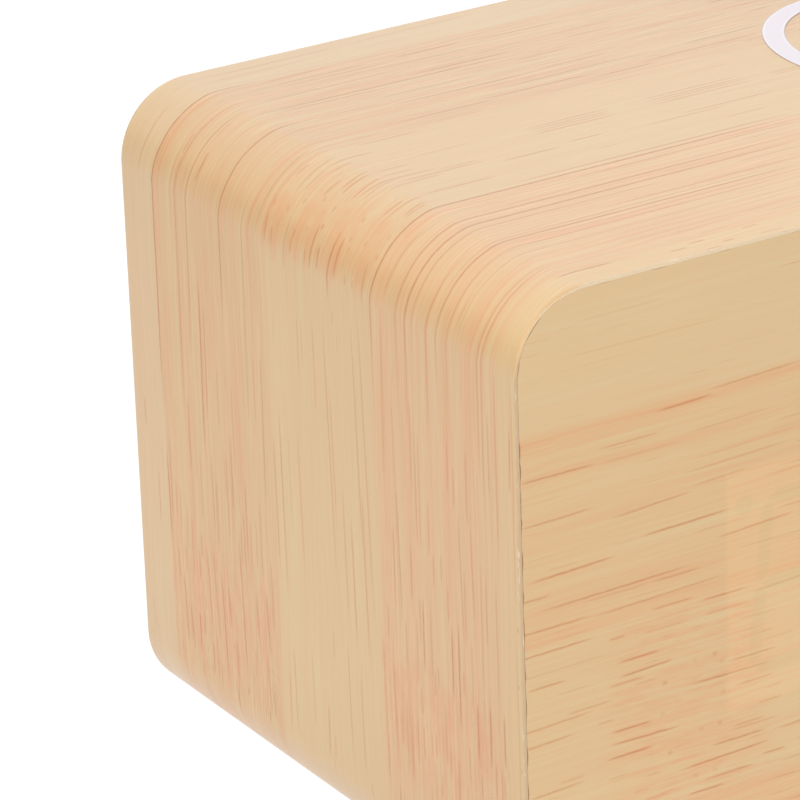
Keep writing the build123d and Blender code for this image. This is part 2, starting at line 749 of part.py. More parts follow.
with BuildPart() as charging_coil:
    with BuildSketch(Plane.XY.offset(z_coil)):
        with Locations((coil_x, coil_y)):
            Circle(25.0)
            Circle(10.5, mode=Mode.SUBTRACT)
    extrude(amount=coil_t)
    # grooves between the turns of the winding
    with BuildSketch(Plane.XY.offset(z_coil + coil_t)):
        with Locations((coil_x, coil_y)):
            for turn in range(1, 10):
                r = 10.5 + turn * 1.45
                Circle(r + 0.12)
                Circle(r - 0.12, mode=Mode.SUBTRACT)
    extrude(amount=-0.3, mode=Mode.SUBTRACT)

with BuildPart() as ferrite_sheet:
    with BuildSketch(Plane.XY.offset(z_ferrite)):
        with Locations((coil_x, coil_y)):
            Circle(26.0)
        with Locations(*lead_at):
            Circle(0.8, mode=Mode.SUBTRACT)
    extrude(amount=ferrite_t)

with BuildPart() as coil_holder:
    with BuildSketch(Plane.XY.offset(z_holder)):
        with Locations((coil_x, coil_y)):
            RectangleRounded(62.0, 62.0, 4.0)
            with GridLocations(54.0, 54.0, 2, 2):
                Circle(1.2, mode=Mode.SUBTRACT)
        with Locations(*lead_at):
            Circle(1.2, mode=Mode.SUBTRACT)
    extrude(amount=holder_t)
    with BuildSketch(Plane.XY.offset(z_cpcb_top)):
        with Locations((coil_x, coil_y)):
            with GridLocations(42.0, 24.0, 2, 2):
                Circle(2.75)
                Circle(0.95, mode=Mode.SUBTRACT)
    extrude(amount=z_holder - z_cpcb_top)

with BuildPart() as coil_holder_screws:
    with BuildSketch(Plane.XY.offset(z_holder - 1.4)):
        with Locations((coil_x, coil_y)):
            with GridLocations(54.0, 54.0, 2, 2):
                Circle(2.1)
    extrude(amount=1.4)
    fillet(coil_holder_screws.edges().group_by(Axis.Z)[0], radius=0.5)
    with BuildSketch(Plane.XY.offset(z_holder)):
        with Locations((coil_x, coil_y)):
            with GridLocations(54.0, 54.0, 2, 2):
                Circle(0.93)
    extrude(amount=5.4)
    with BuildSketch(Plane.XY.offset(z_holder - 1.4)):
        with Locations((coil_x, coil_y)):
            with GridLocations(54.0, 54.0, 2, 2):
                Rectangle(2.2, 0.5)
                Rectangle(0.5, 2.2)
    extrude(amount=0.8, mode=Mode.SUBTRACT)

with BuildPart() as charger_pcb:
    with BuildSketch(Plane.XY.offset(z_cpcb_low)):
        with Locations((coil_x, coil_y)):
            RectangleRounded(50.0, 32.0, 1.5)
            with GridLocations(42.0, 24.0, 2, 2):
                Circle(1.2, mode=Mode.SUBTRACT)
    extrude(amount=pcb_t)

with BuildPart() as charger_pcb_screws:
    with BuildSketch(Plane.XY.offset(z_cpcb_low - 1.4)):
        with Locations((coil_x, coil_y)):
            with GridLocations(42.0, 24.0, 2, 2):
                Circle(2.1)
    extrude(amount=1.4)
    fillet(charger_pcb_screws.edges().group_by(Axis.Z)[0], radius=0.5)
    with BuildSketch(Plane.XY.offset(z_cpcb_low)):
        with Locations((coil_x, coil_y)):
            with GridLocations(42.0, 24.0, 2, 2):
                Circle(0.93)
    extrude(amount=6.0)
    with BuildSketch(Plane.XY.offset(z_cpcb_low - 1.4)):
        with Locations((coil_x, coil_y)):
            with GridLocations(42.0, 24.0, 2, 2):
                Rectangle(2.2, 0.5)
                Rectangle(0.5, 2.2)
    extrude(amount=0.8, mode=Mode.SUBTRACT)

with BuildPart() as charger_chip:
    with BuildSketch(Plane.XY.offset(z_cpcb_low - 0.9)):
        with Locations((coil_x, coil_y)):
            RectangleRounded(7.0, 7.0, 0.3)
    extrude(amount=0.9)

with BuildPart() as charger_capacitors:
    with BuildSketch(Plane.XY.offset(z_cpcb_low - 2.5)):
        with Locations((coil_x + 13.0, coil_y)):
            with GridLocations(0, 4.4, 1, 4):
                Rectangle(4.5, 3.2)
    extrude(amount=2.5)

with BuildPart() as coil_leads:
    with BuildSketch(Plane.XY.offset(z_cpcb_top)):
        with Locations(*lead_at):
            Circle(0.45)
    extrude(amount=z_coil - z_cpcb_top)

# ================================================================ internal leads
lead_d = 1.2


def lead_radii(points):
    """Radius of each corner: as large as its two runs allow."""
    out = []
    for a, b, c in zip(points, points[1:], points[2:]):
        u, v = Vector(*b) - Vector(*a), Vector(*c) - Vector(*b)
        out.append(round(0.45 * min(u.length, v.length) / math.tan(math.radians(u.get_angle(v)) / 2), 2))
    return out


hx, hz = lead_header_at[0]
red_route = [(hx + 1.25, y_lead, hz), (hx + 1.25, 7.5, hz), (bay_x0 + 0.2, 8.5, row_z[0]),
             (bay_x0 + 0.2, y_bay_floor - 3.5, row_z[0])]
black_route = [(hx - 1.25, y_lead, hz), (hx - 1.25, 8.0, hz), (8.0, 3.0, 42.0), (28.0, 5.5, 33.5),
               (46.0, 3.5, 28.0), (bay_x1 - 0.2, 8.5, row_z[2]), (bay_x1 - 0.2, y_bay_floor - 3.5, row_z[2])]
cx, cz = lead_header_at[1]
charge_route_red = [(cx + 1.25, y_lead, cz), (cx + 1.25, 6.5, cz), (cx + 1.25, 6.5, z_cpcb_low)]
charge_route_black = [(cx - 1.25, y_lead, cz), (cx - 1.25, 6.5, cz), (cx - 1.25, 6.5, z_cpcb_low)]

lead_parts = []
for route in (red_route, black_route, charge_route_red, charge_route_black):
    radii = lead_radii(route)
    print("lead radii", radii)
    with BuildPart() as lead:
        with BuildLine() as run:
            FilletPolyline(*route, radius=radii)
        with BuildSketch(Plane(origin=run.line @ 0, z_dir=run.line % 0)):
            Circle(lead_d / 2)
        sweep(path=run.line)
    length = sum(e.length for e in run.line.edges())
    print("  length", round(length, 1), "volume ratio",
          round(lead.part.volume / (length * math.pi * lead_d ** 2 / 4), 4))
    lead_parts.append(lead)
battery_lead_red, battery_lead_black, charger_lead_red, charger_lead_black = lead_parts

# ================================================================ written pieces
pieces = {
    "rubber_feet": rubber_feet, "wrap_film": wrap_film, "top_board": top_board,
    "bottom_board": bottom_board, "left_side_board": left_side_board,
    "right_side_board": right_side_board, "front_panel": front_panel, "front_film": front_film,
    "corner_blocks": corner_blocks, "charging_mark": charging_mark,
    "display_segments": display_segments, "display_housing": display_housing,
    "led_chips": led_chips, "display_pcb": display_pcb, "display_spacers": display_spacers,
    "display_screws": display_screws, "display_driver_chip": display_driver_chip,
    "ribbon_headers": ribbon_headers, "display_ribbon": display_ribbon,
    "rear_cover": rear_cover, "rear_cover_screws": rear_cover_screws,
    "main_pcb": main_pcb, "main_pcb_screws": main_pcb_screws, "tact_switches": tact_switches,
    "mode_plunger": mode_plunger, "up_plunger": up_plunger, "down_plunger": down_plunger,
    "mode_button": mode_button, "up_button": up_button, "down_button": down_button,
    "usb_inlet_shell": usb_inlet_shell, "usb_inlet_tongue": usb_inlet_tongue,
    "microphone": microphone, "temperature_sensor": temperature_sensor, "buzzer": buzzer,
    "microcontroller": microcontroller, "timekeeping_chip": timekeeping_chip,
    "quartz_crystal": quartz_crystal, "filter_capacitor": filter_capacitor,
    "lead_headers": lead_headers, "battery_box": battery_box,
    "battery_box_screws": battery_box_screws, "battery_cells": battery_cells,
    "battery_contact_plates": battery_contact_plates, "battery_leaf_springs": battery_leaf_springs,
    "battery_door": battery_door, "battery_door_screws": battery_door_screws,
    "charging_coil": charging_coil, "ferrite_sheet": ferrite_sheet, "coil_holder": coil_holder,
    "coil_holder_screws": coil_holder_screws, "charger_pcb": charger_pcb,
    "charger_pcb_screws": charger_pcb_screws, "charger_chip": charger_chip,
    "charger_capacitors": charger_capacitors, "coil_leads": coil_leads,
    "battery_lead_red": battery_lead_red, "battery_lead_black": battery_lead_black,
    "charger_lead_red": charger_lead_red, "charger_lead_black": charger_lead_black,
}
for name, piece in pieces.items():
    piece.part.label = name
    export_step(piece.part, f"parts/{name}.step")
print(len(pieces), "pieces")
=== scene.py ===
import json
import math

import bpy
import numpy as np
from mathutils import Matrix, Vector
from mathutils.geometry import delaunay_2d_cdt


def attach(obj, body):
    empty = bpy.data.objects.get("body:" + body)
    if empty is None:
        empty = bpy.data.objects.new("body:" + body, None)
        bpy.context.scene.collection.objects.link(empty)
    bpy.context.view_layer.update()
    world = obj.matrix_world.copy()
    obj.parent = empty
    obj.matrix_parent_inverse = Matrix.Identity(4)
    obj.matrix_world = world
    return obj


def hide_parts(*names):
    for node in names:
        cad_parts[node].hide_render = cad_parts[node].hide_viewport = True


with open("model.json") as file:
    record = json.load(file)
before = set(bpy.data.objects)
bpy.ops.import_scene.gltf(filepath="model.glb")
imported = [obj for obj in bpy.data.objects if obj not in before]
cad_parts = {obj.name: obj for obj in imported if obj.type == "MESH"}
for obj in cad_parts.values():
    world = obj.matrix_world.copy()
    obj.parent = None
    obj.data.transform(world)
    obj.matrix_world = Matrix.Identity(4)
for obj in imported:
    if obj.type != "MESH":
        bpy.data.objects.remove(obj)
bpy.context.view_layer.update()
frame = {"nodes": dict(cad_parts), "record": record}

# Desk clock: a block-shaped case wrapped in a printed wood film, with a front film over a hidden
# display, a printed charging mark on top, and a black plastic rear cover.
# Lengths are written in millimetres and turned into metres when a mesh or a bump is made.
# Depth "v" of the wrap runs from the front edge (0) to the rear edge (75), and "u" runs round the
# outline from the middle of the top left corner: positive along the top, negative down the left side.
MM = 0.001
nodes = frame["nodes"]

# ------------------------------------------------------------------------------------------------
# node helper


class Net:
    """A small shader writer: every call adds a node and gives back its output socket."""

    def __init__(self, owner, tree=None):
        self.mat = owner
        self.tree = tree or owner.node_tree
        self.tree.nodes.clear()

    def node(self, kind, **props):
        n = self.tree.nodes.new("ShaderNode" + kind)
        for k, v in props.items():
            setattr(n, k, v)
        return n

    def put(self, socket, value):
        if isinstance(value, bpy.types.NodeSocket):
            self.tree.links.new(value, socket)
        elif value is not None:
            if isinstance(value, tuple) and len(value) == 3 and socket.type == "RGBA":
                value = value + (1.0,)
            socket.default_value = value

    def math(self, op, a, b=None, c=None, clamp=False):
        n = self.node("Math", operation=op, use_clamp=clamp)
        for s, v in zip(n.inputs, (a, b, c)):
            self.put(s, v)
        return n.outputs[0]

    def add(self, a, b):
        return self.math("ADD", a, b)

    def sub(self, a, b):
        return self.math("SUBTRACT", a, b)

    def mul(self, a, b):
        return self.math("MULTIPLY", a, b)

    def mad(self, a, b, c):
        return self.math("MULTIPLY_ADD", a, b, c)

    def top(self, a, b):
        return self.math("MAXIMUM", a, b)

    def low(self, a, b):
        return self.math("MINIMUM", a, b)

    def vmath(self, op, a, b=None, c=None):
        n = self.node("VectorMath", operation=op)
        for s, v in zip(n.inputs, (a, b, c)):
            self.put(s, v)
        return n.outputs["Value"] if op in ("DOT_PRODUCT", "LENGTH", "DISTANCE") else n.outputs[0]

    def xyz(self, x=0.0, y=0.0, z=0.0):
        n = self.node("CombineXYZ")
        for s, v in zip(n.inputs, (x, y, z)):
            self.put(s, v)
        return n.outputs[0]

    def split(self, v):
        n = self.node("SeparateXYZ")
        self.put(n.inputs[0], v)
        return n.outputs[0], n.outputs[1], n.outputs[2]

    def noise(self, vec, detail=2.0, rough=0.5, scale=1.0, dist=0.0):
        n = self.node("TexNoise", noise_dimensions="3D")
        self.put(n.inputs["Vector"], vec)
        n.inputs["Scale"].default_value = scale
        n.inputs["Detail"].default_value = detail
        n.inputs["Roughness"].default_value = rough
        n.inputs["Distortion"].default_value = dist
        return n.outputs[0]

    def cells(self, vec, scale=1.0, feature="F1", random=1.0, out="Distance"):
        n = self.node("TexVoronoi", feature=feature)
        self.put(n.inputs["Vector"], vec)
        n.inputs["Scale"].default_value = scale
        n.inputs["Randomness"].default_value = random
        return n.outputs[out]

    def ramp(self, fac, stops, mode="LINEAR"):
        n = self.node("ValToRGB")
        cr = n.color_ramp
        cr.interpolation = mode
        while len(cr.elements) > 1:
            cr.elements.remove(cr.elements[-1])
        for i, (pos, col) in enumerate(stops):
            e = cr.elements[0] if i == 0 else cr.elements.new(pos)
            e.position = pos
            e.color = tuple(col) if len(col) == 4 else tuple(col) + (1.0,)
        self.put(n.inputs[0], fac)
        return n.outputs[0], n.outputs[1]

    def mix(self, fac, a, b, kind="MIX"):
        n = self.node("Mix", data_type="RGBA", blend_type=kind)
        self.put(n.inputs[0], fac)
        self.put(n.inputs[6], a)
        self.put(n.inputs[7], b)
        return n.outputs[2]

    def mixf(self, fac, a, b):
        n = self.node("Mix", data_type="FLOAT")
        self.put(n.inputs[0], fac)
        self.put(n.inputs[2], a)
        self.put(n.inputs[3], b)
        return n.outputs[0]

    def step(self, x, lo, hi, a=0.0, b=1.0):
        n = self.node("MapRange", interpolation_type="SMOOTHSTEP")
        for s, v in zip(n.inputs, (x, lo, hi, a, b)):
            self.put(s, v)
        return n.outputs[0]

    def bump(self, height_mm, normal=None, strength=1.0):
        n = self.node("Bump")
        n.inputs["Strength"].default_value = strength
        n.inputs["Distance"].default_value = MM
        self.put(n.inputs["Height"], height_mm)
        if normal is not None:
            self.put(n.inputs["Normal"], normal)
        return n.outputs[0]

    def mm(self):
        """Place on the object in millimetres."""
        n = self.node("TexCoord")
        return self.vmath("MULTIPLY", n.outputs["Object"], (1000.0, 1000.0, 1000.0))

    def surface(self, colour, rough, normal=None, **fixed):
        n = self.node("BsdfPrincipled")
        self.put(n.inputs["Base Color"], colour)
        self.put(n.inputs["Roughness"], rough)
        if normal is not None:
            self.put(n.inputs["Normal"], normal)
        for k, v in fixed.items():
            n.inputs[k.replace("_", " ")].default_value = v
        out = self.node("OutputMaterial")
        self.tree.links.new(n.outputs[0], out.inputs[0])
        return self.mat


def material(name):
    m = bpy.data.materials.new(name)
    m.use_nodes = True
    return Net(m)


def tone(r, g, b, light, sheen):
    """Base colour of a printed tone that should look (r, g, b) under that light with that sheen on it."""
    out = []
    for c in (r, g, b):
        c = c / 255.0
        lin = c / 12.92 if c <= 0.04045 else ((c + 0.055) / 1.055) ** 2.4
        out.append(max(0.0, (lin - sheen) / light))
    return tuple(out)


# ------------------------------------------------------------------------------------------------
# printed wood

# One mark is (u0, u1, v, strength) or (u0, u1, v0, v1, strength), and a sixth number is its width.
# They are single fibres of the printed bamboo, drawn one by one for the side, the corner and the
# near part of the top.
SIDE = [
    (-59, -55.5, 73.1, .3), (-35.5, -32, 72.6, .6), (-46, -39.5, 70.4, .5), (-39, -36, 69.3, .25),
    (-53.5, -51, 68.3, .3), (-47.5, -36.5, 68.1, 68.3, .8), (-45, -35, 67.7, .6), (-31, 12, 68.5, 68.3, .9),
    (-51, -47.5, 66.8, .5), (-44, -39.5, 66.7, .5), (-45, -40, 65.9, .4), (-58.5, -50, 65.6, 65.9, .8),
    (-50, -46.5, 65.2, .5), (-58.5, -53.5, 64.4, 64.8, .7), (-47, -41.5, 64.6, .4), (-50, -42.5, 63.6, .5),
    (-58, -53.5, 62.9, .8), (-49.5, -46, 62.3, .6), (-56, -53, 61.9, .5), (-47, -44, 61.7, .6),
    (-53, -51, 61.5, .4), (-60, -56, 60.3, .7), (-55, -45.5, 60.1, 60.7, .6), (-55.5, -44.5, 58.7, 59.3, .6),
    (-60, -46.5, 57.2, 57.8, .6), (-53, -48, 56.1, 56.5, .5), (-59, -53.5, 55.1, .6),
    (-57, -41.5, 53.2, 53.7, .7), (-44.5, -40, 53.2, .5), (-45, -38, 52.5, .6), (-44, -34.5, 51.9, .6),
    (-45, -38.5, 51.2, .5), (-57, -53.5, 51.3, .4), (-53, -46.5, 50.3, 50.6, .6), (-44, -38, 50, .5),
    (-45, -35.5, 49, .5), (-60, -53, 48.3, 49, .6), (-53, -46, 48.1, 48.5, .8), (-60, -57, 47.7, .6),
    (-50, -42, 47.2, .5), (-42.5, -34.5, 61.1, .5), (-37, -29, 63.1, .6), (-31, 8, 63.9, 63.6, .6),
    (8, 25, 62.5, .5), (-34, -14.5, 60, 59.6, .8), (-30, -17, 59, 58.8, .6), (-43, -34, 58.7, .5),
    (-45, -36, 58, .6), (-31, -23, 56.6, .5), (-43, -32.5, 55.6, .6), (-38, -33, 56, .4),
    (-39, -30, 54.5, .6), (-35, -24, 53.8, .4), (-28, -1.5, 50.4, 50.1, .5), (-27, -20, 49, .4),
    (-35.5, -18, 47.7, 47.4, .6), (-22, 6, 61.7, 61.3, .6), (-17.5, 10, 54.8, 54.7, .8), (10, 18, 54.6, .4),
    (-42, -27, 45.3, 45.5, .6), (-45, -24, 43.9, 44.2, .6), (-60, -53, 44.3, .5), (-60, -50, 43.1, 43.3, .5),
    (-36, -26, 42.5, .3), (-40.5, -25, 40.3, 40.7, .4), (-58, -49, 39.4, 39.6, .4), (-60, -54, 36.7, .6),
    (-60, -57, 35.6, .4), (-48.5, -45, 35.1, .4), (-39, -11, 34, 34.7, .5), (-33, -18, 33.5, 33.9, .4),
    (-58, -45.5, 32.1, 32.4, .5), (-43, -28, 31.9, 32.2, .5), (-45, -31, 30.4, 30.8, .6),
    (-59, -48, 29.7, 30, .5), (-46, -27, 28.1, 28.5, .6), (-35, -9.5, 28.6, 29.4, .5), (-39, -9, 27, 28, .5),
    (-59, -42, 25, 25.4, .6), (-42, -38, 24.2, .5), (-38, -29, 22.7, .5), (-39, -24, 21.5, 21.9, .6),
    (-42, -15, 21.9, 22.2, .4), (-19, -12, 39.8, .4), (-18, -12.5, 39, .3), (-22, -12, 36.8, .4),
    (-11, -9.5, 32.8, .3), (-24, -6, 24, 23.7, .4), (-5, 3, 23.3, .5), (-24, -15, 22.2, .4),
    (-55, -43.5, 23.2, 23.7, .5), (-53, -49, 22.2, .5), (-56, -47, 21.3, .5), (-56, -49, 20.4, .5),
    (-44, -38.5, 20.9, .5), (-54, -48.5, 19.3, .5), (-53, -49, 18.2, .5), (-48, -45, 18.4, .5),
    (-45, -37, 18.9, .5), (-43, -35, 17.6, .8), (-40, -35, 18.2, .5), (-52, -49, 16.7, .5),
    (-52, -49, 15.9, .5), (-43, -35, 16.2, .5), (-36, -30, 19.6, .5), (-30, -17, 18.2, .5),
    (-30, -17, 17.6, .5), (-30, -24, 16.1, .5), (-56, -53, 15.1, .5), (-45, -42, 15.7, .5),
    (-44, -41.5, 15.1, .5), (-33, -29.5, 15.4, .5), (-52, -45, 14, .5), (-53, -49, 13.2, .5),
    (-32, -29, 14, .5), (-36, -32, 12.9, .5), (-55, -50, 11.8, .5), (-44, -36, 12.4, .8),
    (-47, -35, 11.2, .8), (-43, -40, 10.5, .5), (-37, -23, 10.2, 10.6, .5), (-37, -29, 9.8, .5),
    (-44, -36, 8.9, .5), (-49, -42.5, 8.1, .8), (-52, -48, 9.8, .5), (-53, -50, 7.7, .5),
    (-34, -24, 8.2, 8.5, .5), (-41, -27, 6.9, .5), (-49, -42, 5.8, .8), (-36, -28, 6, .5),
    (-52, -48, 5, .5), (-52, -48, 4, .5), (-41, -28, 4.2, .5), (-52, -48.5, 3.5, .5), (-48, -42, 3.3, .8),
    (-26, -6, 3.6, .5), (-24, -14, 18.9, .5), (-18, 3, 15.5, .5), (-23, -18.5, 11.3, .5),
    (-22, -16, 12.3, .5), (-24, -16, 9, .5), (-19, 7, 6.5, .5), (-21, 7, 5.8, .5), (-20, -11, 4.9, .5),
    (-18, -11, 1.3, 1.1, .6), (-47.2, -46.6, .5, .6), (-38.2, -37.8, .6, .6), (-32.2, -31.6, .5, .5),
    (-6, -3.5, .45, .25), (-60, -30, .75, .35), (-30, -7, .7, .4),
]
ARC = [  # (u0, u1, v, strength) as seen on the corner itself
    (-6, -3, 45.5, .5), (-6, -4, 44.3, .5), (-8, -2.5, 41.8, 41.4, .5), (-6, -3, 40.7, 40.2, .5),
    (-6, -4.5, 37.8, .5), (-6.5, -1.5, 36.9, 36.6, .7), (-6, -3.5, 35.4, .7), (-8.5, -1, 33.5, 33, .7),
    (-6, -1.5, 32.3, 32, .7), (-6, -5, 30.2, .5), (-6, -5, 28.8, .5), (-7, -2.5, 27, 26.8, .5),
    (1.5, 3.5, 44.8, .5), (0, 6, 43, 43.8, .5), (.5, 4, 41.9, 42.1, .5), (4, 10, 42.2, 42.7, .5),
    (4, 6.5, 41, 41.4, .5), (1, 3.5, 38.9, .6), (2.5, 6.5, 37.4, 38.4, .5), (2, 6, 36.7, 37.5, .6),
    (7, 10.5, 37.5, .4), (2, 6.5, 34.8, 35.9, .5), (6.5, 10.5, 36.1, .45), (2.5, 12.5, 34.3, 34.8, .5),
    (2.5, 7, 33.5, 34.5, .5), (7, 17.5, 33.8, .5), (5, 12, 32.6, 33.2, .5), (2, 5, 29, 29.4, .5),
    (2, 7, 28.3, 29.1, .5), (7, 16, 29.4, .6), (3, 6.5, 26.8, 27.6, .5), (3, 6, 26.4, 26.9, .5),
]
ARC_DOTS = [
    (-1.8, 45.2, .6), (-1.8, 42.7, .6), (-.3, 40.8, .7), (.8, 38.3, .7), (-2.6, 38.3, .4), (-1.7, 36.1, 1.0),
    (.4, 36, .7), (-1.5, 31, .7), (-2.5, 30.7, .5), (.8, 31, .7), (.8, 33.9, .4), (-1.2, 28.6, .6),
    (-1.8, 25.9, .7), (.5, 25.9, .6),
]
DOTS = [(-57.4, 61.5, .7), (-54.9, 55.8, .7), (-54.8, 47.9, .7), (-56.5, 47.6, .6), (24, 74.2, .5)]
TOP = [
    (-6, 2, 71.2, .4), (7, 24, 72.5, 72.7, .4), (7, 19, 71.1, .3), (-2, .5, 64.2, .5), (1, 3.5, 60.7, .3),
    (-4, -.5, 60.1, .7), (7, 36, 59.4, 59.2, .7), (8, 22, 58.6, 58.5, .6), (7, 10, 52.9, .3),
    (-6, 5, 47.4, .5), (9.5, 13, 47, .3), (9, 17, 45.2, .5), (24, 42, 72.8, 73.2, .4),
    (12, 20, 67.7, .5), (12, 24, 66.2, 66, .5), (12, 25, 65.4, 65.1, .5), (26.5, 35, 66, .6),
    (36, 47, 65.7, 65.3, .6), (23, 36.5, 64, 63.8, .5), (22, 25.5, 61.7, .3), (29, 33, 61.9, .3),
    (34, 37.5, 61.7, .4), (25, 38, 60.3, 60.2, .7), (44.5, 51, 60.5, .4), (44, 52, 62.3, .3),
    (36, 43.5, 57.6, .5), (36, 40, 56.5, .3), (18.5, 30.5, 56.1, .5), (37, 48, 54.7, .3),
    (18.5, 35, 53.5, 53.2, .6), (36.5, 45.5, 53.7, .6), (29, 50.5, 51.2, .6), (27, 41, 49.2, .6),
    (46.5, 62, 49.1, .6), (16, 28, 48.6, .6), (40.5, 48, 48, .6), (25.5, 35.5, 39.1, .5),
    (25.5, 35.5, 38.5, .5), (25.5, 35.5, 37.9, .5), (25.5, 35.5, 37.2, .5), (40, 52.5, 39.2, .5),
    (40, 52.5, 38.5, .5), (40, 52.5, 37.9, .5), (40, 52.5, 37.2, .5), (12, 19, 39.1, .3), (12, 17, 34.4, .4),
    (18.5, 25.5, 32.6, .6), (27, 31, 33.3, .5), (40.5, 52.5, 33.3, .5), (36, 46, 32.6, .4),
    (28, 31, 29.8, .3), (43.5, 49, 29.7, .4), (15, 50, 26.7, .6), (21, 50, 24.3, .6), (38, 50, 24.9, .4),
    (12, 20, 22.1, .4), (-18, 50, 25.5, 25.8, .9), (-18, 47, 20.9, 21.3, .7), (-17, 46, 19.2, 19.7, .8),
    (-10, 30, 18, 18.3, .5), (-12, 42, 13.7, 14.1, .8), (-5, 42, 14.4, 14.9, .4), (-15, 40, 11.8, 12.2, .5),
    (-11, 39, 10.1, 10.4, .4), (5, 12, 3.2, .8), (37, 44.5, 18.4, .4), (18, 43, 15.7, 15.9, .6),
    (12, 41, 13.1, .4), (12, 35, 6.8, .3), (20, 29, 5.9, .3), (26.5, 28.5, 3.1, .5), (17.5, 19.5, 2.1, .6),
    (20, 22, 2.8, .6), (23, 24.5, 1.3, .6), (27, 30, .9, .5), (20.5, 22.5, .5, .5), (52, 62, 58, .3),
    (54.5, 57.5, 55.4, .4), (53, 64, 51.2, .6), (58, 66, 48, .5), (48, 54, 43.1, .3), (55, 59, 37.9, .5),
    (55, 59, 37.3, .4),
]
# broad soft stains of the print: (u0, u1, v0, v1, strength, width)
STAINS = [
    (-53, -20, 45.9, 46.1, .6, 1.0), (12, 38, 68.6, 68.6, .7, 1.0), (-24, 37, 7.9, 7.8, .6, 1.2),
    (-24, 34, 4.2, 4.1, .5, .9), (-6.5, -1.4, 43.6, 43.9, .8, 5.2), (-6.5, -1.4, 32.6, 32.9, .8, 3.6), (-5, 2.8, 38.6, 39.0, .95, 5.8),
    (-5, 2.6, 29.2, 29.6, .9, 5.0), (-7, 2.0, 34.4, 34.8, .8, 5.4), (-7, .5, 45.2, 45.5, .8, 3.0),
    (-48.2, -45.8, 15, 15, .6, 1.4), (-45, -43, 13.5, 13.5, .6, 1.1), (12.4, 14.6, 3, 3, .7, .8),
    (14.2, 15.8, 1.2, 1.2, .6, .7), (14, 50, 24.9, 25.0, .8, 1.3), (-40, -18, 53, 53, .5, 2.2),
    (-52, -26, 62.3, 62.2, .4, 2.6), (-30, 4, 57, 56.6, .45, 2.0), (-22, 20, 49.3, 49.0, .5, 1.8),
    (-58, -47, 50, 50.2, .6, 3.4), (-58, -46, 58, 58.2, .5, 3.0), (-57, -46, 64.6, 64.7, .5, 2.2),
    (-55, -43, 19, 19, .6, 3.2), (-54, -42, 11, 11.2, .6, 3.0), (-53, -43, 5.6, 5.6, .5, 2.0),
    (-38, -8, 19.4, 19.8, .45, 2.2), (-36, -6, 12.5, 12.6, .4, 2.0), (0, 44, 20.0, 20.6, .45, 1.8),
    (2, 44, 12.9, 13.2, .5, 1.9), (6, 46, 60.9, 60.7, .4, 2.4), (10, 48, 52.3, 52.1, .5, 2.2),
    (10, 40, 65.6, 65.3, .4, 1.6),
]
BLUSH = [
    (-8, 0, 44.6, 44.9, .8, 4.6), (-7, .5, 38.8, 39.2, .9, 5.8), (-6.5, 2.2, 33.0, 33.5, .8, 5.4),
    (-6, 2.6, 28.0, 28.4, .9, 4.4), (-59, -47, 62.8, 63.0, .8, 5.0), (-60, -46, 55.5, 55.8, .8, 5.6),
    (-55, -45, 49.0, 49.3, .7, 3.6), (-53.5, -43.5, 21.4, 21.6, .8, 4.4), (-52, -43, 14.2, 14.4, .8, 5.0),
    (-51, -43, 6.6, 6.8, .8, 4.6), (-38, -8, 23.8, 24.0, .5, 3.0), (-40, -16, 66.6, 66.6, .5, 2.6),
    (-8, 5, 67.2, 67.3, .7, 2.4), (-7, 6, 24.4, 24.6, .7, 2.4), (4, 20, 24.0, 23.6, .45, 2.2),
]
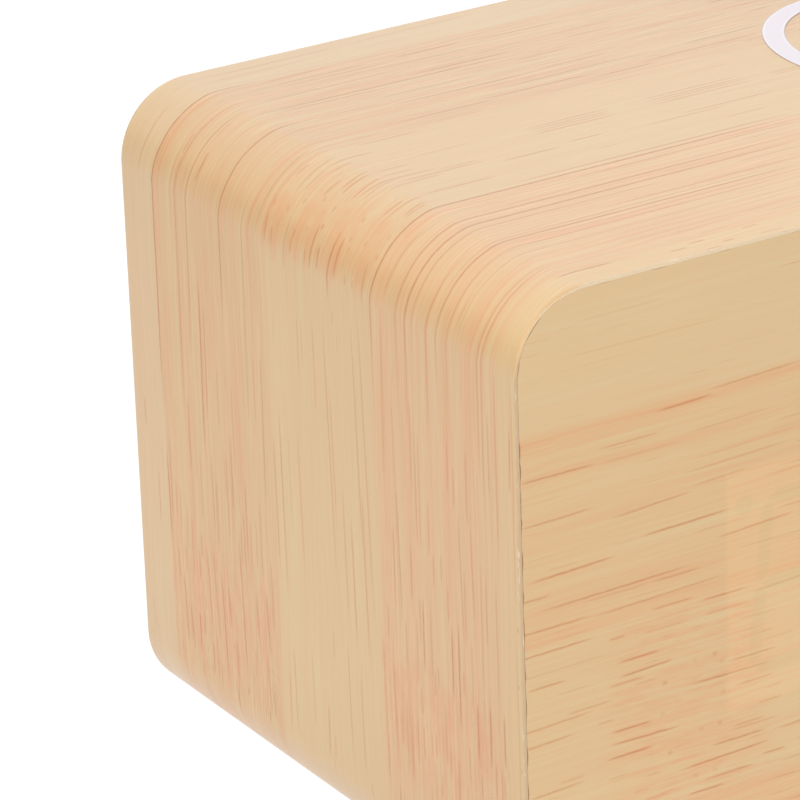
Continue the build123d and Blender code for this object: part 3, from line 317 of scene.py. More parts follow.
FRONT = [
    (7, 17, 3.5, .25), (0, 4, 4.4, .2), (0, 3.5, 5.7, .25), (5, 24, 6.8, 7.1, .3), (3, 17, 8.1, .2),
    (19, 33, 10, .15), (22, 33, 14.1, 13.8, .7), (16, 22.5, 14.9, 14.7, .8), (9, 16.5, 17.1, .6),
    (20, 29.5, 18, 17.8, .4), (0, 9, 18.4, 18.5, .8), (9, 19, 18.65, .4), (0, 8.5, 23, 22.9, .7),
    (10.5, 20, 24.6, 24.2, .7), (20, 27, 23.7, 23.4, .5), (19, 31, 22.1, 21.8, .5), (20, 33, 20.9, 20.5, .3),
    (30, 38, 19.3, .4), (29, 36, 20.1, .3), (28.5, 37, 24.9, 24.6, .5), (14, 24.5, 27.4, 27.2, .9),
    (29, 35, 27.1, .3), (1, 11, 28.9, 28.6, .9), (3, 7, 28.1, .3), (20, 27, 28.6, .4), (30, 37, 28.6, .7),
    (23, 32, 29.9, 29.5, .9), (-2, 3.5, 30.7, .7), (2, 19.5, 32.1, 31.9, .8), (15, 21, 32.5, .6),
    (7, 15, 32.5, .4), (25, 36, 31.6, 31.8, .5), (-2, 8, 34.1, .7), (8, 24, 34.3, 34, .7),
    (15, 20, 35.45, .7), (-2, 8.5, 36.6, 36.5, .8), (21, 26.5, 36.1, .8), (27, 36, 36.8, 36.5, .7),
    (10, 12, 37.3, .6), (14, 19.5, 37.7, .4), (21, 26.5, 37.7, .5), (-2, 10.5, 38.7, .4),
    (25, 30, 39.2, 39.4, .5), (.5, 5, 40.1, .8), (11, 16, 40, .8), (4, 8, 41.4, .3), (28, 29.5, 41.4, .5),
    (11, 17.5, 41.6, 41.4, .9), (10, 14, 42.3, .6), (28, 32, 42.3, .4), (13, 15.5, 42.9, .4),
    (24, 30, 43.5, .9), (-2, 8, 44.5, 44.3, .7), (5, 10.5, 43.8, .6), (19.5, 29.5, 44.7, 44.9, .9),
    (-2, 6, 46.3, 46.1, .7), (8.5, 10.5, 45.9, .5), (25, 29.5, 46.3, .8), (10, 15, 47.3, .9),
    (28.5, 30.5, 47.6, .5), (10, 18, 48.6, 48.8, .9), (27.5, 30.5, 49, .6), (9.5, 15, 50.1, .9),
    (24.5, 28.5, 50.7, .6), (24, 30, 51.1, .5), (4, 7, 50.9, .5), (.5, 7, 51.7, 51.5, .7),
    (22, 28.5, 52.1, .9), (18, 29, 53.7, 53.5, .9), (30, 36, 52.5, .5), (28, 31, 54.8, .8), (21, 27, 55.6, .8),
    (30, 37, 56.2, .5), (19, 23.5, 56.7, .8), (14, 17, 55.7, .4), (12.5, 14.5, 54.5, .4), (9.5, 12, 52.2, .4),
]
FRONT_DOTS = [
    (16.5, 43.7, 1.0), (22.5, 42.2, 1.0), (23.3, 43.2, .6), (16.2, 46.9, .7), (23.4, 46.5, .7), (20.8, 49.9, .7),
    (23, 49.8, 1.0), (17, 51.4, 1.0), (20.1, 42.3, .5), (20.1, 54.8, .7), (22.3, 54.8, .6), (17, 41.4, .6),
]
FRONT_STAINS = [
    (-3, 14, 14.6, 14.5, .5, 1.0), (-4, 26, 15.2, 15.0, .5, 2.8), (22, 40, 14.6, 14.4, .6, 1.0), (-4, 40, 35.4, 35.2, .4, 1.2),
    (-3, 26, 32.4, 32.1, .55, 2.8), (-3, 29, 34.6, 34.3, .5, 2.0),
    (16, 20, 37, 37, .7, 1.6), (18, 22, 39, 39, .7, 1.5), (18, 22, 43, 43, .7, 1.8), (15, 18, 50.5, 50.5, .7, 1.5),
    (18, 22, 47.5, 47.5, .7, 1.8), (0, 34, 31.2, 31.0, .4, 2.4), (2, 36, 18.5, 18.2, .35, 2.2),
]


def bend(u):
    """How far the print drifts to the front where it turns over the top left corner."""
    return float(np.interp(u, [-6.3, -4, -2, 0, 2, 4, 6, 7], [0, -.35, -.65, -.7, -.7, -.5, -.1, 0]))


def mark(m, width):
    if len(m) == 4:
        u0, u1, v0, k = m
        return (u0, u1, v0, v0, k, width)
    if len(m) == 5:
        u0, u1, v0, v1, k = m
        return (u0, u1, v0, v1, k, width)
    return m


def dot(m, size):
    u, v, k = m
    return (u - size * .36, u + size * .36, v, v, k * .5, size)


wrap_marks = [mark(m, .56) for m in SIDE + TOP]
for m in ARC:
    m = mark(m, .58)
    wrap_marks.append((m[0], m[1], m[2] - bend(m[0]), m[3] - bend(m[1]), m[4], m[5]))
for m in ARC_DOTS:
    wrap_marks.append(dot((m[0], m[1] - bend(m[0]), m[2]), .95))
wrap_marks += [dot(m, .8) for m in DOTS]
wrap_stains = [mark(m, 1.0) for m in STAINS]
front_marks = [mark(m, .47) for m in FRONT] + [dot(m, .9) for m in FRONT_DOTS]
front_stains = [mark(m, 1.0) for m in FRONT_STAINS]


def row_group():
    """Node group that draws the mark of one row: its place and form come from two stepped ramps."""
    tree = bpy.data.node_groups.new("mark_of_row", "ShaderNodeTree")
    for name, kind in (("u", "NodeSocketFloat"), ("f", "NodeSocketFloat"), ("place", "NodeSocketColor"), ("strength", "NodeSocketFloat"),
                       ("form", "NodeSocketColor"), ("span", "NodeSocketFloat"), ("so far", "NodeSocketFloat")):
        tree.interface.new_socket(name, in_out="INPUT", socket_type=kind)
    tree.interface.new_socket("value", in_out="OUTPUT", socket_type="NodeSocketFloat")
    net = Net(None, tree)
    inp = tree.nodes.new("NodeGroupInput")
    u, f, place, strength, form, span, so_far = [inp.outputs[i] for i in range(7)]
    x, y, z = net.split(place)
    sx, sy, _ = net.split(form)
    du = net.sub(u, net.mad(x, U_SPAN, U0))
    slope = net.mad(sx, .5, -.25)
    dv = net.sub(net.mul(net.sub(f, z), span), net.mul(slope, du))
    a = net.math("DIVIDE", dv, net.mul(sy, WIDEST / 2))
    b = net.math("DIVIDE", du, net.mul(y, LONGEST))
    b2 = net.mul(b, b)
    body = net.mad(net.mul(b2, b2), net.mul(b2, -1.0), 1.0)
    body = net.math("SUBTRACT", body, net.mul(a, a), clamp=True)
    value = net.top(net.mul(body, strength), so_far)
    out = tree.nodes.new("NodeGroupOutput")
    tree.links.new(value, out.inputs[0])
    return tree


U0, U_SPAN = -142.0, 432.0
LONGEST, WIDEST = 45.0, 6.0
ROW = row_group()


def strokes(net, u, v, marks, bands, sharp=True):
    """Darkness 0 to 1 of marks that each have their own place.

    A stepped ramp over v holds the marks of one layer, one in each of its rows: the row's colour is
    the mark's middle, half length and strength, and a second ramp is its slope and width."""
    total = 0.0
    for lo, hi in bands:
        q = (hi - lo) / 255
        rows = []
        for a, b, va, vb, k, w in marks:
            vc = (va + vb) / 2
            reach = w / 2 + abs(vb - va) / 2 + .05
            if lo <= vc < hi and lo < vc - reach and vc + reach < hi:
                rows.append((vc - reach, vc + reach, (a + b) / 2, (b - a) / (1.74 if sharp else 2), (vb - va) / (b - a), k, w))
        rows.sort()
        layers = []
        for r in rows:
            for layer in layers:
                if len(layer) < 32 and layer[-1][1] + 1.15 * q <= r[0]:
                    layer.append(r)
                    break
            else:
                layers.append([r])
        f = net.mad(v, 1 / (hi - lo), -lo / (hi - lo))
        for layer in layers:
            place, shape = [], []
            for i, (start, end, uc, half, slope, k, w) in enumerate(layer):
                pos = 0.0 if i == 0 else (math.ceil((layer[i - 1][1] - lo) / q) - .5) / 255
                vc = (start + end) / 2
                place.append((pos, ((uc - U0) / U_SPAN, half / LONGEST, (vc - lo) / (hi - lo), k ** .35 if sharp else k)))
                shape.append((pos, (min(1, max(0, .5 + slope * 2)), w / WIDEST, 0, 1)))
            col, alpha = net.ramp(f, place, "CONSTANT")
            form, _ = net.ramp(f, shape, "CONSTANT")
            n = net.node("Group")
            n.node_tree = ROW
            for s, val in zip(n.inputs, (u, f, col, alpha, form, hi - lo, total)):
                net.put(s, val)
            total = n.outputs[0]
    return total


def wood(net, u, v, base, v_span, v0, zones, masks, extra_masks, marks, stains, bands, frame_u, window, seed, ink, calm, hush=None, pressed=None):
    """Printed bamboo: strips of slightly different tone, with pink streaks, fine lines, short dark
    fibres and node zones. Gives the colour, the fibre darkness and the fine grain."""
    u0, u_span = frame_u
    # slow wander of every line
    wander = net.noise(net.xyz(net.mul(u, 1 / 17), net.mul(v, 1 / 5), seed), detail=1.0)
    shake = net.noise(net.xyz(net.mul(u, 1 / 1.3), net.mul(v, 1 / 2), seed + 9), detail=1.0)
    w = net.add(v, net.mad(wander, .8, -.4))
    # the drawn fibres keep their place but for a tiny tremble
    vh = net.add(net.add(v, net.mad(wander, .16, -.08)), net.mad(shake, .10, -.05))
    drawn = strokes(net, u, vh, marks, bands)
    stain = net.step(strokes(net, u, vh, stains, [(v0, v0 + v_span)], False), 0.0, 1.0)
    drawn = net.mul(drawn, drawn)

    fac = net.mad(w, 1 / v_span, -v0 / v_span)
    colour, streaky = net.ramp(fac, base)
    # node zones: which strip, and where along it
    strip, _ = net.ramp(fac, masks)
    where, _ = net.ramp(net.mad(u, 1 / u_span, -u0 / u_span), zones)
    zone = net.vmath("DOT_PRODUCT", strip, where)
    if extra_masks:
        strip2, _ = net.ramp(fac, extra_masks[0])
        where2, _ = net.ramp(net.mad(u, 1 / u_span, -u0 / u_span), extra_masks[1])
        zone = net.top(zone, net.vmath("DOT_PRODUCT", strip2, where2))
    ragged = net.noise(net.xyz(net.mul(u, 1 / 3.5), net.mul(w, 1 / .9), seed + 21), detail=2.0)
    zone = net.mul(zone, net.step(ragged, .30, .62, .45, 1.0))

    broad = net.noise(net.xyz(net.mul(u, 1 / 70), net.mul(w, 1 / 1.9), seed + 1), detail=2.0, rough=.55)
    mid = net.noise(net.xyz(net.mul(u, 1 / 24), net.mul(w, 1 / .55), seed + 2), detail=2.5, rough=.6)
    fine = net.noise(net.xyz(net.mul(u, 1 / 15), net.mul(w, 1 / .24), seed + 3), detail=2.0, rough=.65)
    grain = net.noise(net.xyz(net.mul(u, 1 / 1.5), net.mul(v, 1 / .13), seed + 4), detail=2.0, rough=.6)
    blot = net.noise(net.xyz(net.mul(u, 1 / 26), net.mul(v, 1 / 9), seed + 5), detail=2.0)

    pink = net.add(net.mad(broad, 2.0, -1.0), net.mad(mid, 2.8, -1.4))
    pink = net.mul(pink, net.mad(streaky, .9, .25))
    colour = net.mix(1.0, colour, net.vmath("MULTIPLY_ADD", net.xyz(pink, pink, pink), (.010, -.125, -.150), (1, 1, 1)), "MULTIPLY")
    ff = net.add(net.sub(fine, .5), net.mul(net.sub(grain, .5), .45))
    ff = net.mul(ff, net.mul(net.add(net.mad(streaky, 1.1, .25), net.mul(zone, .7)), calm))
    if pressed is not None:
        ff = net.mul(ff, net.mad(pressed, .75, 1.0))
    colour = net.mix(1.0, colour, net.vmath("MULTIPLY_ADD", net.xyz(ff, ff, ff), (-.15, -.25, -.35), (1, 1, 1)), "MULTIPLY")
    bb = net.sub(blot, .5)
    colour = net.mix(1.0, colour, net.vmath("MULTIPLY_ADD", net.xyz(bb, bb, bb), (.03, .06, .07), (1, 1, 1)), "MULTIPLY")

    # paler fibres between the pink and dark ones
    d3 = net.noise(net.xyz(net.mul(u, 1 / 11), net.mul(w, 1 / .31), seed + 13), detail=1.5)
    pale = net.mul(net.step(d3, .54, .70), net.add(net.mad(streaky, .95, .08), net.mul(zone, .5)))
    if pressed is not None:
        pale = net.mul(pale, net.mad(pressed, .8, 1.0))
    pale = net.mul(pale, calm)
    colour = net.mix(1.0, colour, net.vmath("MULTIPLY_ADD", net.xyz(pale, pale, pale), (.050, .065, .080), (1, 1, 1)), "MULTIPLY")

    # fibres that the noise places: outside the drawn part at full strength, inside it faint
    outside = net.top(net.step(u, window[0] + 5, window[0] - 1), net.step(u, window[1] - 5, window[1] + 3))
    d1 = net.noise(net.xyz(net.mul(u, 1 / 9), net.mul(w, 1 / .30), seed + 6), detail=1.0)
    d2 = net.noise(net.xyz(net.mul(u, 1 / 3.2), net.mul(w, 1 / .27), seed + 7), detail=1.0)
    few = net.mad(outside, -.04, net.mad(streaky, -.055, .735))
    dash = net.step(d1, few, net.add(few, .06))
    short = net.mul(net.step(d2, net.mad(outside, -.03, .655), .72), zone)
    free = net.top(net.mul(dash, .9), net.mul(short, 1.0))
    free = net.mul(free, net.mad(outside, .68, .32))
    # dots of the node zones
    pit = net.cells(net.xyz(net.mul(u, 1 / 2.6), net.mul(v, 1 / 1.9), seed), random=1.0)
    pits = net.mul(net.mul(net.step(pit, .16, .08), zone), net.mad(outside, .75, .1))
    dark = net.top(net.top(net.mul(net.mul(drawn, drawn), 1.05), free), net.mul(pits, .8))
    halo = net.top(drawn, net.mul(free, .5))
    crumble = net.noise(net.xyz(net.mul(u, 1 / .9), net.mul(v, 1 / .16), seed + 8), detail=1.0)
    dark = net.mul(dark, net.step(crumble, .18, .58, .55, 1.0))
    if hush is not None:
        dark = net.mul(dark, hush)
        halo = net.mul(halo, hush)

    clump = net.noise(net.xyz(net.mul(u, 1 / 4.5), net.mul(w, 1 / 1.3), seed + 12), detail=2.0)
    soft = net.top(stain, net.mul(net.mul(zone, 1.1), net.step(clump, .36, .60, .25, 1.0)))
    soft = net.mul(soft, net.step(mid, .32, .62, .35, 1.0))
    colour = net.mix(1.0, colour, net.vmath("MULTIPLY_ADD", net.xyz(soft, soft, soft), (.010, -.120, -.150), (1, 1, 1)), "MULTIPLY")
    colour = net.mix(1.0, colour, net.vmath("MULTIPLY_ADD", net.xyz(halo, halo, halo), (.0, -.070, -.085), (1, 1, 1)), "MULTIPLY")
    tint = tuple(-ink * c for c in (.092, .215, .285))
    colour = net.mix(1.0, colour, net.vmath("MULTIPLY_ADD", net.xyz(dark, dark, dark), tint, (1, 1, 1)), "MULTIPLY")
    if pressed is not None:
        deep = net.mul(dark, pressed)
        colour = net.mix(1.0, colour, net.vmath("MULTIPLY_ADD", net.xyz(deep, deep, deep), (-.10, -.13, -.16), (1, 1, 1)), "MULTIPLY")
    return colour, dark, ff


def finish_wood(net, colour, dark, ff, u, v, seed):
    """Satin film: a very fine slanted emboss, a faint lengthways one, and a soft sheen."""
    slant = net.noise(net.xyz(net.mul(net.add(u, net.mul(v, .6)), 1 / .9), net.mul(net.sub(v, net.mul(u, .5)), 1 / .28), seed + 30), detail=2.0)
    long = net.noise(net.xyz(net.mul(u, 1 / 6), net.mul(v, 1 / .35), seed + 31), detail=2.0)
    height = net.add(net.mul(slant, .010), net.mul(long, .010))
    rough = net.mad(slant, .10, .27)
    return net.surface(colour, rough, net.bump(height), IOR=1.52)


WRAP_LO, WRAP_SPAN = -4.0, 90.0


def at(stops, lo, span):
    return [((p - lo) / span, c) for p, c in stops]


# base colours of the strips; the fourth number says how streaky the strip is
A = (.718, .491, .272)
B = (.712, .449, .229)
C = (.724, .492, .254)
D = (.740, .462, .236)
E = (.742, .499, .252)
wrap_base = at([
    (-4, E + (.3,)), (3.3, E + (.35,)), (3.8, D + (.8,)), (25.7, D + (.8,)), (26.1, C + (.22,)),
    (45.0, C + (.30,)), (47.0, B + (.95,)), (68.2, B + (.95,)), (68.6, A + (.35,)), (76, A + (.35,)), (86, B + (.5,)),
], WRAP_LO, WRAP_SPAN)
# red and green stand for the strips B and C
wrap_masks = at([
    (-4, (0, 0, 0)), (25.6, (0, 0, 0)), (26.2, (0, 1, 0)), (46.2, (0, 1, 0)), (46.8, (1, 0, 0)),
    (68.1, (1, 0, 0)), (68.7, (0, 0, 0)), (86, (0, 0, 0)),
], WRAP_LO, WRAP_SPAN)
# and here red, green and blue stand for the strips D, A and E
wrap_masks2 = at([
    (-4, (0, 0, 1)), (3.3, (0, 0, 1)), (3.8, (1, 0, 0)), (25.6, (1, 0, 0)), (26.2, (0, 0, 0)),
    (68.1, (0, 0, 0)), (68.7, (0, 1, 0)), (86, (0, 1, 0)),
], WRAP_LO, WRAP_SPAN)


def humps(channels):
    """Node zones along u as ramp stops: one list of (from, to) for each of three channels."""
    edges = {U0, U0 + U_SPAN}
    for zs in channels:
        for a, b in zs:
            edges |= {a - 2, a + 1, b - 1, b + 3}
    out = []
    for e in sorted(edges):
        col = []
        for zs in channels:
            col.append(max([float(np.interp(e, [a - 2, a + 1, b - 1, b + 3], [0, 1, 1, 0])) for a, b in zs] or [0.0]))
        out.append(((e - U0) / U_SPAN, tuple(col)))
    return out


wrap_zones = humps([[(-60, -45), (88, 101), (254, 267)], [(-6, 5), (124, 137), (-118, -104)], []])
wrap_zones2 = humps([[(-56, -43), (70, 82), (236, 248)], [(166, 178), (-98, -88)], [(196, 206), (106, 114)]])


def uv_mm(net):
    n = net.node("UVMap", uv_map="print")
    x, y, _ = net.split(n.outputs[0])
    return x, y


# painted light and shade along u: colour factors for the wrap, brighter over the top left corner, darker over the lower
# left corner
PAINTED_LIGHT_BY_U = [
    (-80, (1.0, 1.0, 1.0)), (-74, (.90, .88, .89)), (-66, (.84, .80, .82)), (-61, (.93, .94, .94)), (-50, (.965, .98, .98)), (-20, (1.0, 1.0, 1.01)), (-6, (1.0, 1.01, 1.01)), (-3.5, (1.055, 1.05, 1.02)),
    (-2, (1.095, 1.10, 1.08)), (2, (1.08, 1.10, 1.11)), (4, (1.07, 1.09, 1.10)), (6.5, (1.015, 1.0, .97)),
    (50, (1.03, 1.025, 1.01)), (80, (1.0, 1.0, 1.0)),
]


def wrap_material():
    net = material("wood_film_wrap")
    u, v = uv_mm(net)
    colour, dark, ff = wood(net, u, v, wrap_base, WRAP_SPAN, WRAP_LO, wrap_zones, wrap_masks,
                            (wrap_masks2, wrap_zones2), wrap_marks, wrap_stains,
                            [(-1.0, 21.8), (19.8, 42.4), (39.8, 62.2), (59.8, 79.0)], (U0, U_SPAN), (-61, 62), 3.0, 2.55, .85, None, net.step(u, 1, 7))
    # orange blushes of the node that lies on the corner
    blush = net.step(strokes(net, u, v, [mark(m, 1.0) for m in BLUSH], [(WRAP_LO, WRAP_LO + WRAP_SPAN)], False), 0.0, .8)
    cloud = net.noise(net.xyz(net.mul(u, 1 / 2.6), net.mul(v, 1 / 1.7), 51.0), detail=2.0)
    blush = net.mul(blush, net.step(cloud, .34, .60, .35, 1.0))
    colour = net.mix(1.0, colour, net.vmath("MULTIPLY_ADD", net.xyz(blush, blush, blush), (.012, -.085, -.115), (1, 1, 1)), "MULTIPLY")
    # painted light and shade along u: the colour is made brighter over the top left corner and a little on the top, and
    # darker over the lower left corner and the bottom of the left side
    paler, _ = net.ramp(net.mad(u, 1 / 160, .5), at([(p, tuple(c / 1.12 for c in k)) for p, k in PAINTED_LIGHT_BY_U], -80.0, 160.0))
    colour = net.mix(1.0, colour, net.vmath("MULTIPLY", paler, (1.12, 1.12, 1.12)), "MULTIPLY")
    # the butt joint of the film under the case
    seam = net.low(net.add(u, 139.85), net.sub(286.42, u))
    colour = net.mix(net.step(seam, .22, .05, 0.0, .55), colour, (.20, .12, .06))
    # paper core that shows where the front edge is rubbed
    rub = net.noise(net.xyz(net.mul(u, 1 / 2.3), net.mul(v, 1 / .5), 77.0), detail=3.0)
    bare = net.mul(net.step(rub, .60, .70), net.step(v, .42, .12))
    # painted shade and painted highlight: the front edge's rim is coloured darker along the left side as painted shade
    # and paler along the top as a painted highlight
    top = net.step(u, -6, 2)
    rim = net.mix(top, (.56, .41, .27), (.83, .68, .49))
    colour = net.mix(net.step(v, net.mad(top, .14, .28), .12, 0.0, .70), colour, rim)
    colour = net.mix(net.mul(bare, .55), colour, (.88, .78, .66))
    return finish_wood(net, colour, dark, ff, u, v, 3.0)


FRONT_LO, FRONT_SPAN = -2.0, 76.0
f_pale = (.742, .522, .286)
f_mid = (.742, .496, .262)
f_pink = (.749, .474, .246)
f_node = (.742, .508, .273)
front_base = at([
    (-2, f_pale + (.12,)), (13.3, f_pale + (.15,)), (14.1, f_pink + (.7,)), (16.5, f_mid + (.7,)),
    (33.5, f_mid + (.7,)), (35.2, f_pink + (.8,)), (36.4, f_node + (.55,)), (57.1, f_node + (.55,)),
    (57.9, f_pink + (.9,)), (74, f_pink + (.9,)),
], FRONT_LO, FRONT_SPAN)
front_masks = at([
    (-2, (0, 0, 0)), (13.3, (0, 0, 0)), (14.1, (1, 0, 0)), (35.0, (1, 0, 0)), (36.2, (0, 1, 0)),
    (57.1, (0, 1, 0)), (57.9, (0, 0, 1)), (74, (0, 0, 1)),
], FRONT_LO, FRONT_SPAN)
front_zones = humps([[(84, 96)], [(11, 27), (128, 142)], [(58, 70)]])


def front_material():
    net = material("wood_film_front")
    u, v = uv_mm(net)
    module = net.node("Attribute", attribute_name="module").outputs["Fac"]
    segment = net.node("Attribute", attribute_name="segment").outputs["Fac"]
    hush = net.mad(module, -.30, 1.0)
    colour, dark, ff = wood(net, u, v, front_base, FRONT_SPAN, FRONT_LO, front_zones, front_masks, None,
                            front_marks, front_stains, [(0.0, 25.8), (23.8, 44.6), (42.4, 62.0)], (U0, U_SPAN),
                            (-6, 33), 41.0, 2.0, .28, hush)
    # the light display module and its dark segments show faintly through the film
    colour = net.mix(module, colour, net.vmath("MULTIPLY", colour, (1.060, 1.040, 1.025)))
    colour = net.mix(segment, colour, net.vmath("MULTIPLY", colour, (.955, .984, .966)))
    return finish_wood(net, colour, dark, ff, u, v, 41.0)


# ------------------------------------------------------------------------------------------------
# meshes of the two films

WIDTH, HEIGHT, CORNER, Z_LOW, Z_HIGH, Y_FRONT, Y_BACK = 150.0, 70.0, 8.0, 1.5, 71.5, -37.5, 37.5
Z_MID = (Z_LOW + Z_HIGH) / 2
Q = math.pi * CORNER / 4
BREAKS = [-139.85, -Q - 54 - 2 * Q, -Q - 54, -Q, Q, Q + 134, 3 * Q + 134, 3 * Q + 188, 5 * Q + 188, 5 * Q + 188 + 67]


def outline(u):
    """Point and outward normal of the case's outline at u."""
    hw, hh, r = WIDTH / 2, HEIGHT / 2, CORNER
    if u <= BREAKS[1]:
        return -hw + r - (u - BREAKS[1]) * 1.0, -hh, 0.0, -1.0
    if u < BREAKS[2]:
        a = math.radians(270) - (u - BREAKS[1]) / r
        return -hw + r + r * math.cos(a), -hh + r + r * math.sin(a), math.cos(a), math.sin(a)
    if u <= BREAKS[3]:
        return -hw, -hh + r + (u - BREAKS[2]), -1.0, 0.0
    if u < BREAKS[4]:
        a = math.radians(180) - (u - BREAKS[3]) / r
        return -hw + r + r * math.cos(a), hh - r + r * math.sin(a), math.cos(a), math.sin(a)
    if u <= BREAKS[5]:
        return -hw + r + (u - BREAKS[4]), hh, 0.0, 1.0
    if u < BREAKS[6]:
        a = math.radians(90) - (u - BREAKS[5]) / r
        return hw - r + r * math.cos(a), hh - r + r * math.sin(a), math.cos(a), math.sin(a)
    if u <= BREAKS[7]:
        return hw, hh - r - (u - BREAKS[6]), 1.0, 0.0
    if u < BREAKS[8]:
        a = -(u - BREAKS[7]) / r
        return hw - r + r * math.cos(a), -hh + r + r * math.sin(a), math.cos(a), math.sin(a)
    return hw - r - (u - BREAKS[8]), -hh, 0.0, -1.0


def stations():
    us = []
    for i, (a, b) in enumerate(zip(BREAKS, BREAKS[1:])):
        if i % 2 == 1:
            us += list(np.linspace(a, b, 29)[:-1])
        else:
            inner = np.linspace(a + .4, b - .4, int((b - a - .8) / .7) + 1)
            us += [a] + list(inner)
    us += [BREAKS[-1]]
    return us


def ripple(us, seed, size):
    """Smooth random values from 0 to 1 along u that meet at the ends."""
    rng = np.random.default_rng(seed)
    n = int((us[-1] - us[0]) / size)
    knots = rng.random(n + 1)
    knots[-1] = knots[0]
    x = (np.array(us) - us[0]) / (us[-1] - us[0]) * n
    i = np.minimum(x.astype(int), n - 1)
    t = x - i
    t = t * t * (3 - 2 * t)
    return knots[i] * (1 - t) + knots[i + 1] * t


def bumps(us, spots):
    out = np.zeros(len(us))
    for a, b, h in spots:
        t = np.clip((np.array(us) - a + .25) / .5, 0, 1) * np.clip((b + .25 - np.array(us)) / .5, 0, 1)
        out = np.maximum(out, t * h)
    return out


def add_mesh(name, verts, faces, uvs, mat, sharp=35.0):
    me = bpy.data.meshes.new(name)
    me.from_pydata([tuple(c * MM for c in p) for p in verts], [], faces)
    layer = me.uv_layers.new(name="print")
    flat = [c for face in uvs for pair in face for c in pair]
    layer.data.foreach_set("uv", flat)
    me.validate(verbose=False)
    me.update()
    for p in me.polygons:
        p.use_smooth = True
    me.set_sharp_from_angle(angle=math.radians(sharp))
    me.materials.append(mat)
    ob = bpy.data.objects.new(name, me)
    bpy.context.scene.collection.objects.link(ob)
    return ob


def wrap_mesh():
    us = stations()
    n = len(us) - 1                       # the last station is the first one again
    edge = .20 + .05 * ripple(us, 5, 1.6) + bumps(us, [(-20.4, -19.6, .07), (-13.8, -13.2, .07), (-2.1, -1.5, .08), (3.2, 3.6, .05), (31.0, 31.8, .06), (96.0, 97.0, .08), (171.0, 171.7, .08)])
    edge = np.minimum(edge, .33)
    verts, index = [], {}
    ring_v = []
    columns = []
    for i in range(n):
        x, z, nx, nz = outline(us[i])
        dent = .06 if i == 0 else 0.0     # the film's butt joint under the case
        r = float(edge[i])
        prof = [(.35, Y_FRONT, -.30), (r, Y_FRONT, -.15)]
        for k in range(1, 5):
            a = math.radians(22.5 * k)
            prof.append((r - r * math.sin(a), Y_FRONT + r - r * math.cos(a), r * a - .05 if k < 4 else r))
        prof += [(dent, Y_FRONT + .55, .55), (dent, Y_BACK - .6, 74.4), (dent, Y_BACK - .3, 74.7)]
        for k in range(1, 5):
            a = math.radians(22.5 * k)
            prof.append((.3 - .3 * math.cos(a), Y_BACK - .3 + .3 * math.sin(a), 74.7 + .3 * a))
        col = []
        for d, y, vv in prof:
            verts.append((x - nx * d, y, Z_MID + z - nz * d))
            col.append((len(verts) - 1, vv))
        # rear turn-over: flat in to the opening, then its thickness and the inner skin
        ox, oz = max(-66.65, min(66.65, x)), max(7.85 - Z_MID, min(65.15 - Z_MID, z))
        if abs(nx) > .999:
            ox = math.copysign(66.65, x)
        if abs(nz) > .999:
            oz = (65.15 if z > 0 else 7.85) - Z_MID
        if 0 < abs(nx) < .999:
            ox = math.copysign(66.65, x)
            oz = (65.15 if z > 0 else 7.85) - Z_MID
        run = math.hypot(x - nx * .3 - ox, z - nz * .3 - oz)
        for y, vv in ((Y_BACK, 75.2 + run), (Y_BACK - .35, 75.5 + run)):
            key = (round(ox, 4), y, round(oz, 4))
            if key not in index:
                verts.append((ox, y, Z_MID + oz))
                index[key] = len(verts) - 1
            col.append((index[key], vv))
        for d, y, vv in ((.35, Y_BACK - .35, 76.0 + 2 * run), (.35, Y_FRONT + .3, -1.0)):
            verts.append((x - nx * d, y, Z_MID + z - nz * d))
            col.append((len(verts) - 1, vv))
        columns.append(col)
    faces, uvs = [], []
    m = len(columns[0])
    for i in range(n):
        a, b = columns[i], columns[(i + 1) % n]
        ua, ub = us[i], us[i + 1]
        for k in range(m):
            k2 = (k + 1) % m
            quad = [(a[k][0], ua, a[k][1]), (b[k][0], ub, b[k][1]), (b[k2][0], ub, b[k2][1]), (a[k2][0], ua, a[k2][1])]
            seen, face, uv = set(), [], []
            for vi, uu, vv in quad:
                if vi not in seen:
                    seen.add(vi)
                    face.append(vi)
                    uv.append((uu, vv - bend(uu) if 0 <= vv <= 75.3 else vv))
            if len(face) > 2:
                faces.append(face)
                uvs.append(uv)
    return verts, faces, uvs


verts, faces, uvs = wrap_mesh()
wrap = add_mesh("printed_wrap", verts, faces, uvs, wrap_material())
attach(wrap, "case")
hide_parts("wrap_film")


def bars(x0, z0, w, h, t, which="ABCDEFG"):
    """Leaning seven-segment digit as polygons in the front plane."""
    lean = math.tan(math.radians(6.1))
    g, half = .35 + t * .12, h / 2

    def flat(xa, xb, z):
        return [(xa + g, z), (xa + g + t / 2, z + t / 2), (xb - g - t / 2, z + t / 2), (xb - g, z), (xb - g - t / 2, z - t / 2), (xa + g + t / 2, z - t / 2)]

    def upright(x, za, zb):
        return [(x, za + g), (x + t / 2, za + g + t / 2), (x + t / 2, zb - g - t / 2), (x, zb - g), (x - t / 2, zb - g - t / 2), (x - t / 2, za + g + t / 2)]

    table = {"A": flat(0, w, half), "G": flat(0, w, 0), "D": flat(0, w, -half), "F": upright(0, 0, half),
             "B": upright(w, 0, half), "E": upright(0, -half, 0), "C": upright(w, -half, 0)}
    return [[(x0 + x + z * lean, z0 + z) for x, z in table[k]] for k in which]


def disc(x, z, r, n=14):
    return [(x + r * math.cos(2 * math.pi * k / n), z + r * math.sin(2 * math.pi * k / n)) for k in range(n)]


